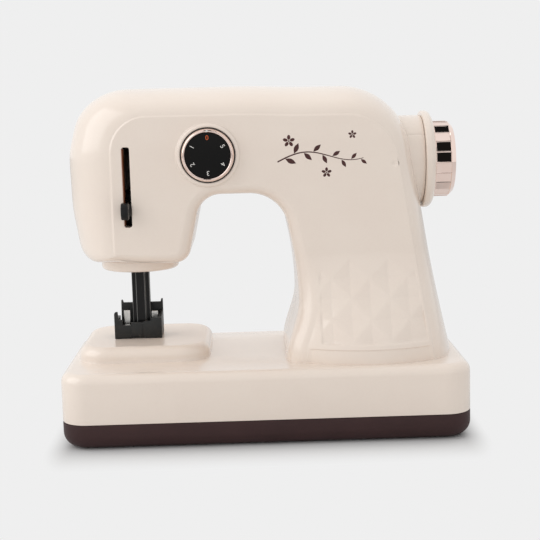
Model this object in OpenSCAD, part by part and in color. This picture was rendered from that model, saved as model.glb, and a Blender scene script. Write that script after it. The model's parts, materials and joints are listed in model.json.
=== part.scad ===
// Toy sewing machine: a two-part body on a tray base, with a hand-turned main shaft,
// a small motor drive, a sliding needle bar with its foot, and a selector dial.

/* [Base] */
// Width of the base
base_w = 210; // [206:1:230]
// Depth of the base
base_d = 106; // [104:1:124]
// Height of the base's top face
base_h = 39; // [36:0.5:44]
// Plan radius of the base's corners
base_r = 14; // [10:0.5:20]
// Rounding of the base's top edge
base_edge = 5; // [3:0.5:6]
// Height of the seam between tray and cover
seam_h = 13.5; // [12:0.5:16]
// Wall of the base's two shells
base_wall = 2.4; // [1.8:0.1:3]
// Rounding of the tray's lower edge
tray_edge = 8; // [5:0.5:9]
// Height of the rubber feet
pad_h = 1.5; // [1:0.1:2.5]
// Radius of the rubber feet
pad_r = 6; // [4:0.5:8]
// Distance of the rubber feet from the base's outer faces
pad_in = 18; // [16:0.5:24]
// Side of the raised square needle plate
plate_w = 70; // [60:1:76]
// Height of the needle plate above the base
plate_h = 8; // [5:0.5:10]
// Plan radius of the needle plate's corners
plate_r = 14; // [8:0.5:20]
// Rounding of the needle plate's top edge
plate_edge = 4; // [1:0.5:5]
// Place of the needle plate's middle along the base
plate_x = -64; // [-66:0.5:-60]

/* [Body] */
// Distance of the parting plane behind the base's middle
body_y = 8; // [4:0.5:10]
// Depth of each cover from the parting plane to its flat face
half_d = 35; // [33:0.5:38]
// Wall of the two covers
wall = 2.2; // [1.6:0.1:2.8]
// Height of the arm's top
arm_top = 181; // [178:0.5:190]
// Height of the throat's ceiling
throat_top = 126; // [122:0.5:128]
// Height of the head's underside
head_low = 91; // [89:0.5:94]
// Left end of the head at its underside
head_x = -97; // [-99:0.5:-94]
// How far the head's left side leans out up to the arm's top
head_lean = 8; // [4:0.5:8]
// Radius of the head's upper left corner
head_r = 33; // [26:0.5:36]
// Radius of the head's lower left corner
head_low_r = 12; // [8:0.5:16]
// Right end of the head at its underside
throat_x = -39.5; // [-42:0.5:-36]
// How far the head's right side leans over up to the ceiling
throat_lean = 8.5; // [4:0.5:12]
// Radius between the head's right side and the ceiling
throat_r = 10; // [6:0.5:14]
// Radius between the ceiling and the column
arch_r = 20; // [16:0.5:24]
// Left side of the column at its waist
waist_x = 18; // [16:0.5:22]
// Height of the column's waist
waist_h = 70; // [64:1:76]
// How far the column's foot flares out to the left
foot_flare = 6.6; // [3:0.2:8]
// Right side of the column at its top
shoulder_x = 88.4; // [88:0.2:89]
// Slope of the column's right side
right_slope = 0.164; // [0.12:0.004:0.18]
// Radius of the arm's right shoulder
shoulder_r = 36; // [30:0.5:40]
// Width of the rounded band above the front face
top_band = 15; // [12:0.5:18]
// Width of the rounded band left of the front face
left_band = 21; // [18:0.5:24]
// Width of the rounded band right of the column's face
right_band = 9.4; // [7:0.2:12]
// Rounding of the throat's edges and of the column's left edge
throat_edge = 5; // [3:0.25:6]
// How far the column's foot comes forward at its edges
front_flare = 11; // [6:0.5:12]
// How much further it comes forward in the middle
front_bulge = 9; // [4:0.5:10]
// Height below which the column comes forward
flare_h = 95; // [85:1:98]

/* [Needle] */
// Place of the needle bar along the base
needle_x = -66.5; // [-67.5:0.25:-65]
// Width over the ribs of the needle bar
bar_w = 9.6; // [8:0.2:11]
// Width of one rib of the needle bar
rib_w = 4.8; // [3.6:0.2:6]
// Travel of the needle bar
needle_travel = 16; // [10:0.5:16]
// Outer radius of the collar under the head
collar_r = 19.5; // [17:0.5:21]
// Height of the collar
collar_h = 6; // [4:0.25:6.5]
// Width of the presser foot
shoe_w = 24.6; // [22:0.2:27]
// Depth of the presser foot
shoe_d = 16; // [14:0.5:18]
// Height of the presser foot's front wall
shoe_h = 10.5; // [9:0.5:12]
// Height of the presser foot's rear wall
shoe_back_h = 17.5; // [15:0.5:18]
// Width of the take-up slot in the front cover
slot_w = 4; // [3.6:0.1:5]
// Length of the take-up slot
slot_l = 41; // [36:0.5:44]
// Height of the take-up slot's middle
slot_z = 131; // [129:0.5:133]
// Width of the take-up lever
lever_w = 3.2; // [2.6:0.1:3.4]
// Height of the take-up lever's tip
lever_h = 8.6; // [7:0.2:10]
// How far the lever stands out of the front face
lever_out = 9; // [6:0.5:12]

/* [Drive] */
// Height of the main shaft
shaft_z = 139.5; // [138.5:0.25:140.5]
// Radius of the main shaft
shaft_r = 2.5; // [2:0.1:3]
// Tooth size of the gears
gear_m = 1.25; // [1.1:0.05:1.3]
// Teeth on the shaft's gear
shaft_teeth = 32; // [30:1:33]
// Teeth on the idler's small gear
idler_small = 12; // [12:1:14]
// Teeth on the idler's large gear
idler_large = 24; // [22:1:26]
// Teeth on the motor's pinion
motor_teeth = 10; // [10:1:12]
// Radius of the motor's can
motor_r = 10; // [8.5:0.5:10.5]
// Length of the motor's can
motor_l = 20; // [16:0.5:20.5]

/* [Handwheel] */
// Radius of the fixed neck
neck_r = 23.7; // [22:0.1:24.5]
// Radius of the handwheel's flange
flange_r = 26; // [25:0.25:26.5]
// Thickness of the flange
flange_t = 5.8; // [4:0.2:6.4]
// Radius over the knob's flats
knob_r = 20.3; // [16:0.1:21]
// Length of the knob
knob_l = 10.8; // [8:0.2:11.6]
// Flats around the knob
knob_flats = 24; // [16:1:30]

/* [Dial] */
// Place of the dial along the arm
dial_x = -26.5; // [-28:0.5:-22]
// Height of the dial
dial_z = 146.5; // [145:0.5:149]
// Outer radius of the dial's ring
dial_r = 14; // [12:0.25:15]
// Radius of the dial's face
face_r = 11.6; // [9:0.2:12]
// Width of the raised bezel round the dial
bezel_w = 1.8; // [1.2:0.1:3]

/* [Battery] */
// Radius of a cell
cell_r = 7.25; // [5.25:0.05:7.25]
// Length of a cell
cell_l = 50.5; // [44.5:0.5:50.5]

/* [Fits] */
// Gap between covers, lids and other seated pieces
seat_gap = 0.1; // [0.05:0.01:0.2]
// Radial gap of a turning or sliding shaft
run_gap = 0.05; // [0.02:0.01:0.08]
// Radial gap of a fixed pin in its hole
pin_gap = 0.02; // [0.01:0.01:0.04]

/* [Hidden] */

$fn = 48;
eps = 0.01;
cream = "#e3d6ca";
brown = "#3d2f2e";
black = "#242424";
steel = "#b4b6b8";
rose = "#dba48c";
brass = "#c9a24a";
nylon = "#d8d8d0";
red = "#b02a22";
copper = "#c4803c";

// Screws
screw_r = 1.2;
screw_head_r = 2.7;
screw_head_h = 2;
pilot_r = screw_r + run_gap;
pass_r = 1.6;
sink_r = 3.1;
boss_r = 3.5;
screw_l = 14;
door_screw_l = 11;
frame_screw_l = 8;
cover_screw_l = 18;
recess_l = 3.2;
recess_w = 0.8;
recess_h = 1;

// Outline of the body
levels = 9;
cap_cols = 4;
arc_n = 7;
band_n = 5;
inner_n = 3;
arch_rise = 26;
arch_lean = 0.2;
col_top = throat_top - arch_rise;
waist_draw = 2.8;
right_curve = 0.0006;
crease_slope = 0.15;
shoulder_lean = 0.16;
flare_low = base_h + 3;
straight = 2;
edge_depth = 1.2 * throat_edge;
crease_r = head_r - top_band;
crease_low_r = 2.5;
crease_round = 3;

// Depths of the drive
frame_x0 = 36;
frame_t = 2.4;
frame_x1 = 58;
frame_y0 = body_y - 12;
web_y = body_y + 23;
gear_x = 44;
gear_t = 6;
small_over = 0.5;
small_gap = 1.5;
small_x = gear_x - small_over;
small_t = gear_t + small_over + small_gap;
large_t = 4.5;
large_x = small_x + small_t;
pinion_over = 0.5;
idler_z = shaft_z - gear_m * (shaft_teeth + idler_small) / 2;
motor_z = idler_z - gear_m * (idler_large + motor_teeth) / 2;
frame_top = shaft_z + 7.5;
frame_low = motor_z - motor_r - 2.5;
axle_r = 1.5;
bush_r = 5;
bush_l = 5.4;
motor_shaft_r = 1;
motor_x = frame_x1 + frame_t + seat_gap;
bell_l = 4;
motor_nose_r = 3;
motor_flat = 0.77;
bell_step = 0.5;
hub_wall = 3.5;
idler_wall = 2;
end_play = 0.4;

// Handwheel
neck_x0 = 70;
neck_wall = 2.2;
neck_x1 = 86.2;
flange_x = neck_x1 + 0.7;
knob_x = flange_x + flange_t + seat_gap;
knob_cap = 3;
knob_chamfer = 2.4;
shaft_end = knob_x + knob_l - knob_cap;
rim_share = 0.42;

// Needle gear
crank_x = -51;
crank_t = 4;
crank_r = needle_travel / 2;
disc_r = crank_r + 5;
pin_r = 2;
yoke_t = 2.25;
carriage_w = 14.5;
yoke_x = needle_x + carriage_w / 2 + yoke_t;
yoke_h = 30;
pin_short = 0.5;
carriage_d = 28;
carriage_low = 108;
carriage_h = 18;
rod_r = 2;
rod_spread = 10;
guide_t = 4;
guide_w = 20;
guide_d = 28;
guide_lift = 0.6;
bracket_z = 155;
bracket_t = 3.5;
bracket_w = 9;
lever_z = 119.3;
lever_x = needle_x - 2;
foot_x = needle_x - 1.2;
plate_top = base_h + plate_h;
foot_y = body_y - 1;

// Battery bay
bay_gap = 0.4;
bay_ends = 7.5;
bay_l = cell_l + bay_ends;
bay_w = 4 * cell_r + 3 * bay_gap;
bay_wall = 4;
bay_top = 1.6;
bay_h = 2 * cell_r + 2 * bay_gap;
door_t = base_wall - 2 * seat_gap;
door_tail = 9;
floor_z = pad_h + base_wall;
cell_z = floor_z + bay_gap + cell_r;
contact_t = 0.6;
contact_in = 1.5;
door_hold = 2;

// Screw places, as [x, z] on the parting plane and [x, y] in the base
cover_bosses = [[-52, 160], [-49, 103], [10, 160], [56, 155.5], [32, 58], [76, 58]];
column_bosses = [[36, body_y - 22], [80, body_y - 22], [36, body_y + 22], [80, body_y + 22]];
tray_bosses = [for (sx = [-1, 1], sy = [-1, 1]) [sx * (base_w / 2 - 39), sy * (base_d / 2 - 13)]];
frame_bosses = [[48, frame_low + 5], [48, idler_z - 8]];
wire_hole = [50, body_y];
wire_hole_r = 6;

// Leads, held inside the body from end to end
lead_r = 0.8;
lead_sides = 8;
lead_steps = 3;
switch_route = [[28, -8, 25], [32, -7, 28], [42, 0, 32], [49, 5, 37], [50, 6, 44], [47, -4, 54],
                [40, -14, 66], [30, -17, 90], [22, -16, 114], [8, -16, 132], [-8, -17, 141],
                [-17.2, -18, 144]];
motor_route = [[-17.2, -18, 150], [-8, -17, 150], [8, -17, 143], [24, -17, 124], [33, -18, 104],
               [44, -18, 92], [62, -17, 88], [76, -12, 89], [82, -6, 90], [82.5, -2, 90.5]];
return_route = [[28, 8, 25], [33, 9, 28], [44, 11, 32], [50, 11, 37], [51, 10, 44], [60, 2, 56],
                [72, -8, 70], [80, -10, 80], [82.5, -6, 84.5], [82.5, -0.5, 85.5]];

// Small helpers
function smooth(t) = let (c = min(1, max(0, t))) c * c * (3 - 2 * c);
function unit(v) = v / norm(v);
function mix(a, b, t) = a + (b - a) * t;
function reversed(f) = [for (i = [len(f) - 1 : -1 : 0]) f[i]];
module along_x() { rotate([90, 0, 90]) children(); }
module along_y() { rotate([-90, 0, 0]) children(); }
module rod_x(r, x0, x1, y, z) { translate([x0, y, z]) along_x() cylinder(r = r, h = x1 - x0); }
module rod_y(r, y0, y1, x, z) { translate([x, y0, z]) along_y() cylinder(r = r, h = y1 - y0); }
module rod_z(r, z0, z1, x, y) { translate([x, y, z0]) cylinder(r = r, h = z1 - z0); }
module block(a, b) { translate(a) cube(b - a); }

// Closed solid through rings of equal length, capped flat at both ends
module loft(rings) {
    n = len(rings[0]);
    last = len(rings) - 1;
    sides = [for (r = [0 : last - 1], i = [0 : n - 1])
             let (j = (i + 1) % n) [r * n + i, (r + 1) * n + i, (r + 1) * n + j, r * n + j]];
    low = [for (i = [0 : n - 1]) i];
    high = [for (i = [n - 1 : -1 : 0]) last * n + i];
    polyhedron([for (r = rings) each r], concat(sides, [low, high]), convexity = 8);
}

// Rounded rectangle at one height, inset from its full size
function rect_ring(w, d, r, inset, z, steps = 6) =
    [for (c = [[1, 1, 0], [-1, 1, 90], [-1, -1, 180], [1, -1, 270]], s = [0 : steps])
     let (a = c[2] + 90 * s / steps, q = max(r - inset, 0.3))
     [c[0] * (w / 2 - inset - q) + q * cos(a), c[1] * (d / 2 - inset - q) + q * sin(a), z]];

// Tube of round section along a smooth route
function curve_point(p, i, t) =
    let (a = p[max(i - 1, 0)], b = p[i], c = p[i + 1], d = p[min(i + 2, len(p) - 1)])
    0.5 * (2 * b + (c - a) * t + (2 * a - 5 * b + 4 * c - d) * t * t + (3 * b - a - 3 * c + d) * t * t * t);
function curve(p) =
    concat([for (i = [0 : len(p) - 2], s = [0 : lead_steps - 1]) curve_point(p, i, s / lead_steps)],
           [p[len(p) - 1]]);
function lead_ring(c, d) =
    let (u = unit(cross(d, [0.3, 1, 0.2])), v = cross(d, u))
    [for (s = [0 : lead_sides - 1]) let (a = 360 * s / lead_sides) c + lead_r * (u * cos(a) + v * sin(a))];
module lead(route) {
    p = curve(route);
    last = len(p) - 1;
    loft([for (i = [0 : last]) lead_ring(p[i], unit(p[min(i + 1, last)] - p[max(i - 1, 0)]))]);
}

// Gear teeth with involute flanks and a little backlash
pressure = 25;
tooth_add = 0.8;
tooth_ded = 1.05;
tooth_play = 0.12;
flank_n = 3;
function involute(rb, r) = let (a = acos(min(1, rb / r))) tan(a) * 180 / PI - a;
function gear_points(m, teeth) =
    let (rp = m * teeth / 2, rb = rp * cos(pressure), ra = rp + tooth_add * m, rf = rp - tooth_ded * m,
         half = 90 / teeth - tooth_play / rp * 180 / PI + involute(rb, rp), r0 = max(rb, rf),
         flank = concat([[rf, half - involute(rb, r0)]],
                        [for (i = [0 : flank_n])
                         let (r = mix(r0 + eps, ra, i / flank_n)) [r, half - involute(rb, r)]]))
    [for (t = [0 : teeth - 1], s = [-1, 1], i = [0 : flank_n + 1])
     let (f = flank[s < 0 ? i : flank_n + 1 - i], a = 360 * t / teeth + s * f[1]) f[0] * [cos(a), sin(a)]];
module gear(teeth, x, t, z, turn) {
    translate([x, body_y, z]) along_x() rotate(turn) linear_extrude(t) polygon(gear_points(gear_m, teeth));
}

// Outlines of the body: at the parting plane, and round the flat face
function left_x(z) = waist_x - foot_flare * smooth((waist_h - z) / (waist_h - base_h))
                     - waist_draw * pow(max(0, (z - waist_h) / (col_top - waist_h)), 2);
function right_x(z) = shoulder_x + right_slope * (col_top - z) + right_curve * pow(col_top - z, 2);
function level_z(j) = mix(base_h, col_top, j / levels);
function corner(a, b, c, r) =
    let (u = unit(a - b), v = unit(c - b), half = acos(u * v) / 2, mid = b + unit(u + v) * r / sin(half),
         turn = (cross(b - a, c - b) > 0 ? 1 : -1) * (180 - 2 * half), p = b + u * r / tan(half) - mid,
         a0 = atan2(p[1], p[0]))
    [for (i = [0 : arc_n]) mid + r * [cos(a0 + turn * i / arc_n), sin(a0 + turn * i / arc_n)]];
function outline(left, path, radii, right) =
    let (p = concat([left[levels]], path, [right[levels]]))
    concat(left, [for (i = [0 : len(path) - 1]) each corner(p[i], p[i + 1], p[i + 2], radii[i])],
           [for (j = [levels : -1 : 0]) right[j]]);
function edge_outline() = outline(
    [for (j = [0 : levels]) [left_x(level_z(j)), level_z(j)]],
    [[left_x(col_top) - arch_lean * arch_rise, throat_top], [throat_x + throat_lean, throat_top],
     [throat_x, head_low], [head_x, head_low], [head_x - head_lean, arm_top],
     [shoulder_x - shoulder_lean * (arm_top - col_top), arm_top]],
    [arch_r, throat_r, throat_edge + crease_round, head_low_r, head_r, shoulder_r],
    [for (j = [0 : levels]) [right_x(level_z(j)), level_z(j)]]);
function face_outline() = outline(
    [for (j = [0 : levels]) [left_x(level_z(j)) + throat_edge, level_z(j)]],
    [[left_x(col_top) - arch_lean * arch_rise + throat_edge, throat_top + throat_edge],
     [throat_x + throat_lean - throat_edge, throat_top + throat_edge],
     [throat_x - throat_edge, head_low + throat_edge], [head_x + left_band, head_low + throat_edge],
     [head_x + left_band, arm_top - top_band],
     [shoulder_x - right_band - shoulder_lean * (arm_top - top_band - col_top), arm_top - top_band]],
    [arch_r + throat_edge, throat_r + throat_edge, crease_round, crease_low_r, crease_r,
     shoulder_r - right_band],
    [for (j = [0 : levels]) [shoulder_x - right_band + crease_slope * (col_top - level_z(j)), level_z(j)]]);
function inset_outline(p, w) =
    let (n = len(p), d = [for (i = [0 : n - 1]) unit(p[(i + 1) % n] - p[i])])
    [for (i = [0 : n - 1])
     let (a = d[(i + n - 1) % n], b = d[i], na = [a[1], -a[0]], nb = [b[1], -b[0]])
     p[i] + (na + nb) * w / (1 + na * nb)];
function face_depth(z, u, flared) =
    half_d + flared * (front_flare + front_bulge * (1 - u * u))
             * smooth((flare_h - z) / (flare_h - flare_low));

// One ring of a cover: depth is counted from the parting plane
function on_level(i, n) = i <= levels || i >= n - 1 - levels;
function soft_edge(i) = i <= levels + 3 * (arc_n + 1);
function cover_ring(edge, face, k, steps, skin, flared) =
    let (n = len(edge))
    [for (i = [0 : n - 1])
     let (full = face_depth(face[i][1], 1, flared && on_level(i, n) ? 1 : 0) - skin,
          start = soft_edge(i) ? full - edge_depth : straight,
          run = full - start, inset = norm(face[i] - edge[i]), turn = 2 * atan(inset / run),
          a = turn * max(0, k - 1) / steps, q = mix(edge[i], face[i], (1 - cos(a)) / (1 - cos(turn))))
     [q[0], k == 0 ? 0 : start + run * sin(a) / sin(turn), q[1]]];

// Hollow cover as one closed solid; side is -1 for the front and 1 for the rear
module cover_shell(side, flared) {
    edge = edge_outline();
    face = face_outline();
    n = len(edge);
    edge_in = inset_outline(edge, wall);
    face_in = inset_outline(face, wall);
    rings = concat([for (k = [inner_n + 1 : -1 : 0]) cover_ring(edge_in, face_in, k, inner_n, wall, flared)],
                   [for (k = [0 : band_n + 1]) cover_ring(edge, face, k, band_n, 0, flared)]);
    last = len(rings) - 1;
    cols = flared ? cap_cols : 1;
    // Points across the column's face, at each level
    across = [for (c = [[0, wall], [last, 0]], j = [0 : levels], s = [1 : 1 : cols - 1])
              let (l = rings[c[0]][j], r = rings[c[0]][n - 1 - j], p = mix(l, r, s / cols))
              [p[0], face_depth(p[2], 2 * s / cols - 1, 1) - c[1], p[2]]];
    grid = (levels + 1) * (cols - 1);
    first = (last + 1) * n;
    at = function (cap, j, s) s == 0 ? cap * last * n + j : s == cols ? cap * last * n + n - 1 - j
                              : first + cap * grid + j * (cols - 1) + s - 1;
    sides = [for (r = [0 : last - 1], i = [0 : n - 1], h = [0, 1])
             let (j = (i + 1) % n, a = r * n + i, b = r * n + j, c = (r + 1) * n + j, d = (r + 1) * n + i)
             h == 0 ? [a, b, c] : [a, c, d]];
    caps = [for (cap = [0, 1], j = [0 : levels - 1], s = [0 : cols - 1], h = [0, 1])
            let (a = at(cap, j, s), b = at(cap, j, s + 1), c = at(cap, j + 1, s + 1), d = at(cap, j + 1, s),
                 f = h == 0 ? [a, b, c] : [a, c, d])
            cap == 1 ? reversed(f) : f];
    // The arm's face in convex pieces round the throat, seen from two points of its outline
    throat = levels + arc_n + 1;
    crown = levels + 5 * (arc_n + 1);
    shoulder = crown + ceil(arc_n / 2);
    pieces = concat([for (i = [levels : throat - 1]) [i, i + 1, shoulder]],
                    [for (i = [throat + 1 : crown - 2]) [i, i + 1, crown]],
                    [concat([throat, throat + 1], [for (i = [crown : shoulder]) i])],
                    [[for (i = [shoulder : n - 1 - levels]) i]]);
    tops = [for (cap = [0, 1], k = [0 : len(pieces) - 1])
            let (f = concat([for (i = pieces[k]) cap * last * n + i],
                            k < len(pieces) - 1 ? [] : [for (s = [cols - 1 : -1 : 0]) at(cap, levels, s)]))
            cap == 1 ? f : reversed(f)];
    bottoms = [if (flared) for (cap = [0, 1])
               let (f = [for (s = [0 : cols]) at(cap, 0, s)]) cap == 1 ? f : reversed(f)];
    faces = concat(sides, caps, tops, bottoms);
    points = [for (p = concat([for (r = rings) each r], across)) [p[0], body_y + side * p[1], p[2]]];
    polyhedron(points, side < 0 ? faces : [for (f = faces) reversed(f)], convexity = 10);
}

module screw(l) {
    difference() {
        union() {
            cylinder(r = screw_r, h = l);
            translate([0, 0, -screw_head_h]) cylinder(r = screw_head_r, h = screw_head_h + eps);
        }
        for (a = [0, 90])
            rotate(a) translate([-recess_l / 2, -recess_w / 2, -screw_head_h - eps])
                cube([recess_l, recess_w, recess_h]);
    }
}

// Base
tower_top = 12;
tower_r = 5;
sink_z = 8;
plate_rim = 13;
plate_y = body_y + 1;
door_x0 = -bay_l / 2 - bay_wall / 2;
door_x1 = bay_l / 2 + bay_wall / 2 + door_tail - door_hold;
door_w = bay_w + bay_wall;
door_screw_x = (bay_l / 2 + door_x1) / 2;
door_sink = 1;
tab_w = 2.4;
tab_h = 24;
arc_steps = 4;

module tray_shell() {
    turns = [for (s = [0 : arc_steps]) 90 * s / arc_steps];
    inner = tray_edge - base_wall;
    loft(concat(
        [for (a = turns)
         rect_ring(base_w, base_d, base_r, tray_edge * (1 - sin(a)), pad_h + tray_edge * (1 - cos(a)))],
        [for (inset = [0, base_wall]) rect_ring(base_w, base_d, base_r, inset, seam_h)],
        [for (i = [arc_steps : -2 : 0])
         rect_ring(base_w, base_d, base_r, base_wall + inner * (1 - sin(turns[i])),
                   floor_z + inner * (1 - cos(turns[i])))]));
}

module bottom_tray() {
    color(brown) difference() {
        union() {
            tray_shell();
            block([-bay_l / 2 - bay_wall, -bay_w / 2 - bay_wall, floor_z - eps],
                  [bay_l / 2 + bay_wall + door_tail, bay_w / 2 + bay_wall, floor_z + bay_h + bay_top]);
            for (b = tray_bosses) rod_z(tower_r, floor_z - eps, tower_top, b[0], b[1]);
        }
        block([-bay_l / 2, -bay_w / 2, floor_z - 1], [bay_l / 2, bay_w / 2, floor_z + bay_h]);
        block([door_x0, -door_w / 2, 0], [door_x1, door_w / 2, floor_z]);
        rod_z(pilot_r, floor_z - 1, floor_z + door_screw_l, door_screw_x, 0);
        for (s = [-1, 1])
            block([bay_l / 2 - contact_t - seat_gap, cell_y(s) - tab_w / 2 - seat_gap, cell_z],
                  [bay_l / 2 + seat_gap, cell_y(s) + tab_w / 2 + seat_gap, tab_h]);
        for (b = tray_bosses) {
            rod_z(sink_r, 0, sink_z, b[0], b[1]);
            rod_z(pass_r, sink_z - 1, tower_top + 1, b[0], b[1]);
        }
    }
}

module base_cover() {
    turns = [for (s = [0 : arc_steps]) 90 * s / arc_steps];
    ceiling = base_h - base_wall;
    inner = max(base_edge - base_wall, 1);
    color(cream) difference() {
        union() {
            loft(concat(
                [for (i = [arc_steps : -2 : 0])
                 rect_ring(base_w, base_d, base_r, base_wall + inner * (1 - cos(turns[i])),
                           ceiling - inner * (1 - sin(turns[i])))],
                [for (inset = [base_wall, 0]) rect_ring(base_w, base_d, base_r, inset, seam_h)],
                [for (a = turns)
                 rect_ring(base_w, base_d, base_r, base_edge * (1 - cos(a)),
                           base_h - base_edge * (1 - sin(a)))]));
            translate([plate_x, plate_y, 0])
                loft(concat([rect_ring(plate_w, plate_w, plate_r, 0, ceiling + base_wall / 2)],
                            [for (a = turns)
                             rect_ring(plate_w, plate_w, plate_r, plate_edge * (1 - cos(a)),
                                       plate_top - plate_edge * (1 - sin(a)))]));
            for (b = tray_bosses) rod_z(boss_r, tower_top + seat_gap, ceiling + base_wall / 2, b[0], b[1]);
        }
        translate([plate_x, plate_y, 0])
            block([plate_rim - plate_w / 2, plate_rim - plate_w / 2, ceiling - 1],
                  [plate_w / 2 - plate_rim, plate_w / 2 - plate_rim, plate_top - base_wall]);
        for (b = tray_bosses) rod_z(pilot_r, tower_top - 1, tower_top + screw_l, b[0], b[1]);
        for (b = column_bosses) rod_z(pass_r, ceiling - 1, base_h + 1, b[0], b[1]);
        rod_z(wire_hole_r, ceiling - 1, base_h + 1, wire_hole[0], wire_hole[1]);
    }
}

module rubber_feet() {
    color(black) for (sx = [-1, 1], sy = [-1, 1])
        rod_z(pad_r, 0, pad_h, sx * (base_w / 2 - pad_in), sy * (base_d / 2 - pad_in));
}

module tray_screws() {
    color(steel) for (b = tray_bosses) translate([b[0], b[1], sink_z - seat_gap]) screw(screw_l);
}

module column_screws() {
    color(steel) for (b = column_bosses)
        translate([b[0], b[1], base_h - base_wall - seat_gap]) screw(screw_l);
}

module battery_door() {
    c = 2 * seat_gap;
    color(brown) difference() {
        block([door_x0 + c, -door_w / 2 + c, pad_h], [door_x1 - c, door_w / 2 - c, pad_h + door_t]);
        rod_z(pass_r, 0, floor_z, door_screw_x, 0);
        rod_z(sink_r, 0, pad_h + door_sink, door_screw_x, 0);
    }
}

module battery_door_screw() {
    color(steel) translate([door_screw_x, 0, pad_h + door_sink - seat_gap]) screw(door_screw_l);
}

// Covers
face_y = body_y - half_d;
back_y = body_y + half_d;
sink_y = body_y + 8;
tube_r = 4.6;
column_boss_top = base_h + screw_l + 2;
bezel_out = 1.8;
dial_play = 0.4;
spindle_r = 3;
rib_x = -44;
rib_t = 3.6;
rib_reach = 9;
rib_h = 10;
head_hole_r = 8.5;

module cover_neck(side) {
    hole = bush_r + seat_gap;
    translate([0, body_y, shaft_z]) along_x() rotate(side < 0 ? 90 : -90) rotate_extrude(angle = 180)
        polygon([[neck_r - neck_wall, neck_x0], [neck_r, neck_x0], [neck_r, neck_x1], [hole, neck_x1],
                 [hole, neck_x1 - neck_wall], [neck_r - neck_wall, neck_x1 - neck_wall]]);
}

module cover_body(side, flared) {
    difference() {
        cover_shell(side, flared);
        rod_x(neck_r - neck_wall / 2, neck_x0, neck_x1 + 2, body_y, shaft_z);
    }
    cover_neck(side);
    for (b = column_bosses) if (side * (b[1] - body_y) > 0)
        rod_z(boss_r, base_h + wall / 2, column_boss_top, b[0], b[1]);
}

module cover_holes() {
    for (b = column_bosses) rod_z(pilot_r, base_h - 1, base_h + screw_l, b[0], b[1]);
    rod_z(head_hole_r, head_low - 1, head_low + wall + 1, needle_x, body_y);
    rod_z(wire_hole_r, base_h - 1, base_h + wall + 1, wire_hole[0], wire_hole[1]);
}

function front_at(x, z) =
    let (l = left_x(z) + throat_edge, r = shoulder_x - right_band + crease_slope * (col_top - z))
    face_depth(z, (2 * x - l - r) / (r - l), 1);
function boss_depth(b) = min([for (s = [-1, 1]) front_at(b[0] + s * boss_r, b[1] + boss_r)]) - wall / 2;

module front_cover() {
    color(cream) difference() {
        union() {
            cover_body(-1, true);
            for (b = cover_bosses)
                rod_y(boss_r, body_y - boss_depth(b), body_y, b[0], b[1]);
            difference() {
                rod_y(dial_r + dial_play + bezel_w, face_y - bezel_out, face_y + wall / 2, dial_x, dial_z);
                rod_y(dial_r + dial_play, face_y - bezel_out - 1, face_y + wall, dial_x, dial_z);
            }
        }
        cover_holes();
        for (b = cover_bosses) rod_y(pilot_r, body_y - screw_l, body_y + 1, b[0], b[1]);
        rod_y(spindle_r + run_gap, face_y - 1, face_y + wall + 1, dial_x, dial_z);
        for (s = [-1, 1])
            rod_y(slot_w / 2, face_y - 1, face_y + wall + 1, lever_x, slot_z + s * (slot_l - slot_w) / 2);
        block([lever_x - slot_w / 2, face_y - 1, slot_z - (slot_l - slot_w) / 2],
              [lever_x + slot_w / 2, face_y + wall + 1, slot_z + (slot_l - slot_w) / 2]);
    }
}

module rear_cover() {
    color(cream) difference() {
        union() {
            cover_body(1, false);
            for (b = cover_bosses) rod_y(tube_r, body_y, back_y - wall / 2, b[0], b[1]);
            for (b = frame_bosses) rod_y(boss_r, web_y + frame_t + seat_gap, back_y - wall / 2, b[0], b[1]);
            block([rib_x, body_y - rib_reach, shaft_z - rib_h],
                  [rib_x + rib_t, back_y - wall / 2, shaft_z + rib_h]);
        }
        cover_holes();
        for (b = cover_bosses) {
            rod_y(pass_r, body_y - 1, back_y, b[0], b[1]);
            rod_y(sink_r, sink_y, back_y + 1, b[0], b[1]);
        }
        for (b = frame_bosses) rod_y(pilot_r, web_y, back_y - wall - 1, b[0], b[1]);
        rod_x(bush_r + seat_gap, rib_x - 1, rib_x + rib_t + 1, body_y, shaft_z);
    }
}

module cover_screws() {
    color(steel) for (b = cover_bosses)
        translate([b[0], sink_y + seat_gap, b[1]]) rotate([90, 0, 0]) screw(cover_screw_l);
}

// Needle gear
collar_x = needle_x + 3;
collar_hole = 7.5;
collar_round = 1.5;
bar_play = 0.25;
shoe_floor = 5;
shoe_wall = 2;
prong_h = 2;
prong_w = 1.6;
shoe_z = plate_top + seat_gap;
shoe_y0 = foot_y - shoe_d / 2;
shoe_y1 = foot_y + shoe_d / 2;
shoe_x0 = foot_x - shoe_w / 2;
shoe_x1 = foot_x + shoe_w / 2;
notch_w = bar_w + 0.8;
clip_t = 1.2;
clip_w = 3.4;
clip_left = 3.7;
clip_right = 2.4;
clip_rise = 3.9;
clip_step = 0.7;
lever_tip = 1.4;
carriage_y0 = body_y - carriage_d / 2;
guide_z = head_low + wall + guide_lift;

module cross_bar(grow, z0, z1) {
    a = bar_w / 2 + grow;
    b = rib_w / 2 + grow;
    for (s = [[a, b], [b, a]])
        block([needle_x - s[0], body_y - s[1], z0], [needle_x + s[0], body_y + s[1], z1]);
}

module at_rods(r, z0, z1) {
    for (s = [-1, 1]) rod_z(r, z0, z1, needle_x, body_y + s * rod_spread);
}

module needle_collar() {
    q = collar_round;
    z0 = head_low - collar_h;
    color(cream) difference() {
        translate([collar_x, body_y, 0]) rotate_extrude()
            polygon(concat([[0, head_low - seat_gap], [0, z0]],
                           [for (s = [0 : arc_steps]) let (a = 90 * s / arc_steps)
                            [collar_r - q + q * sin(a), z0 + q - q * cos(a)]],
                           [[collar_r, head_low - seat_gap]]));
        rod_z(collar_hole, z0 - 1, head_low, needle_x, body_y);
    }
}

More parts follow.
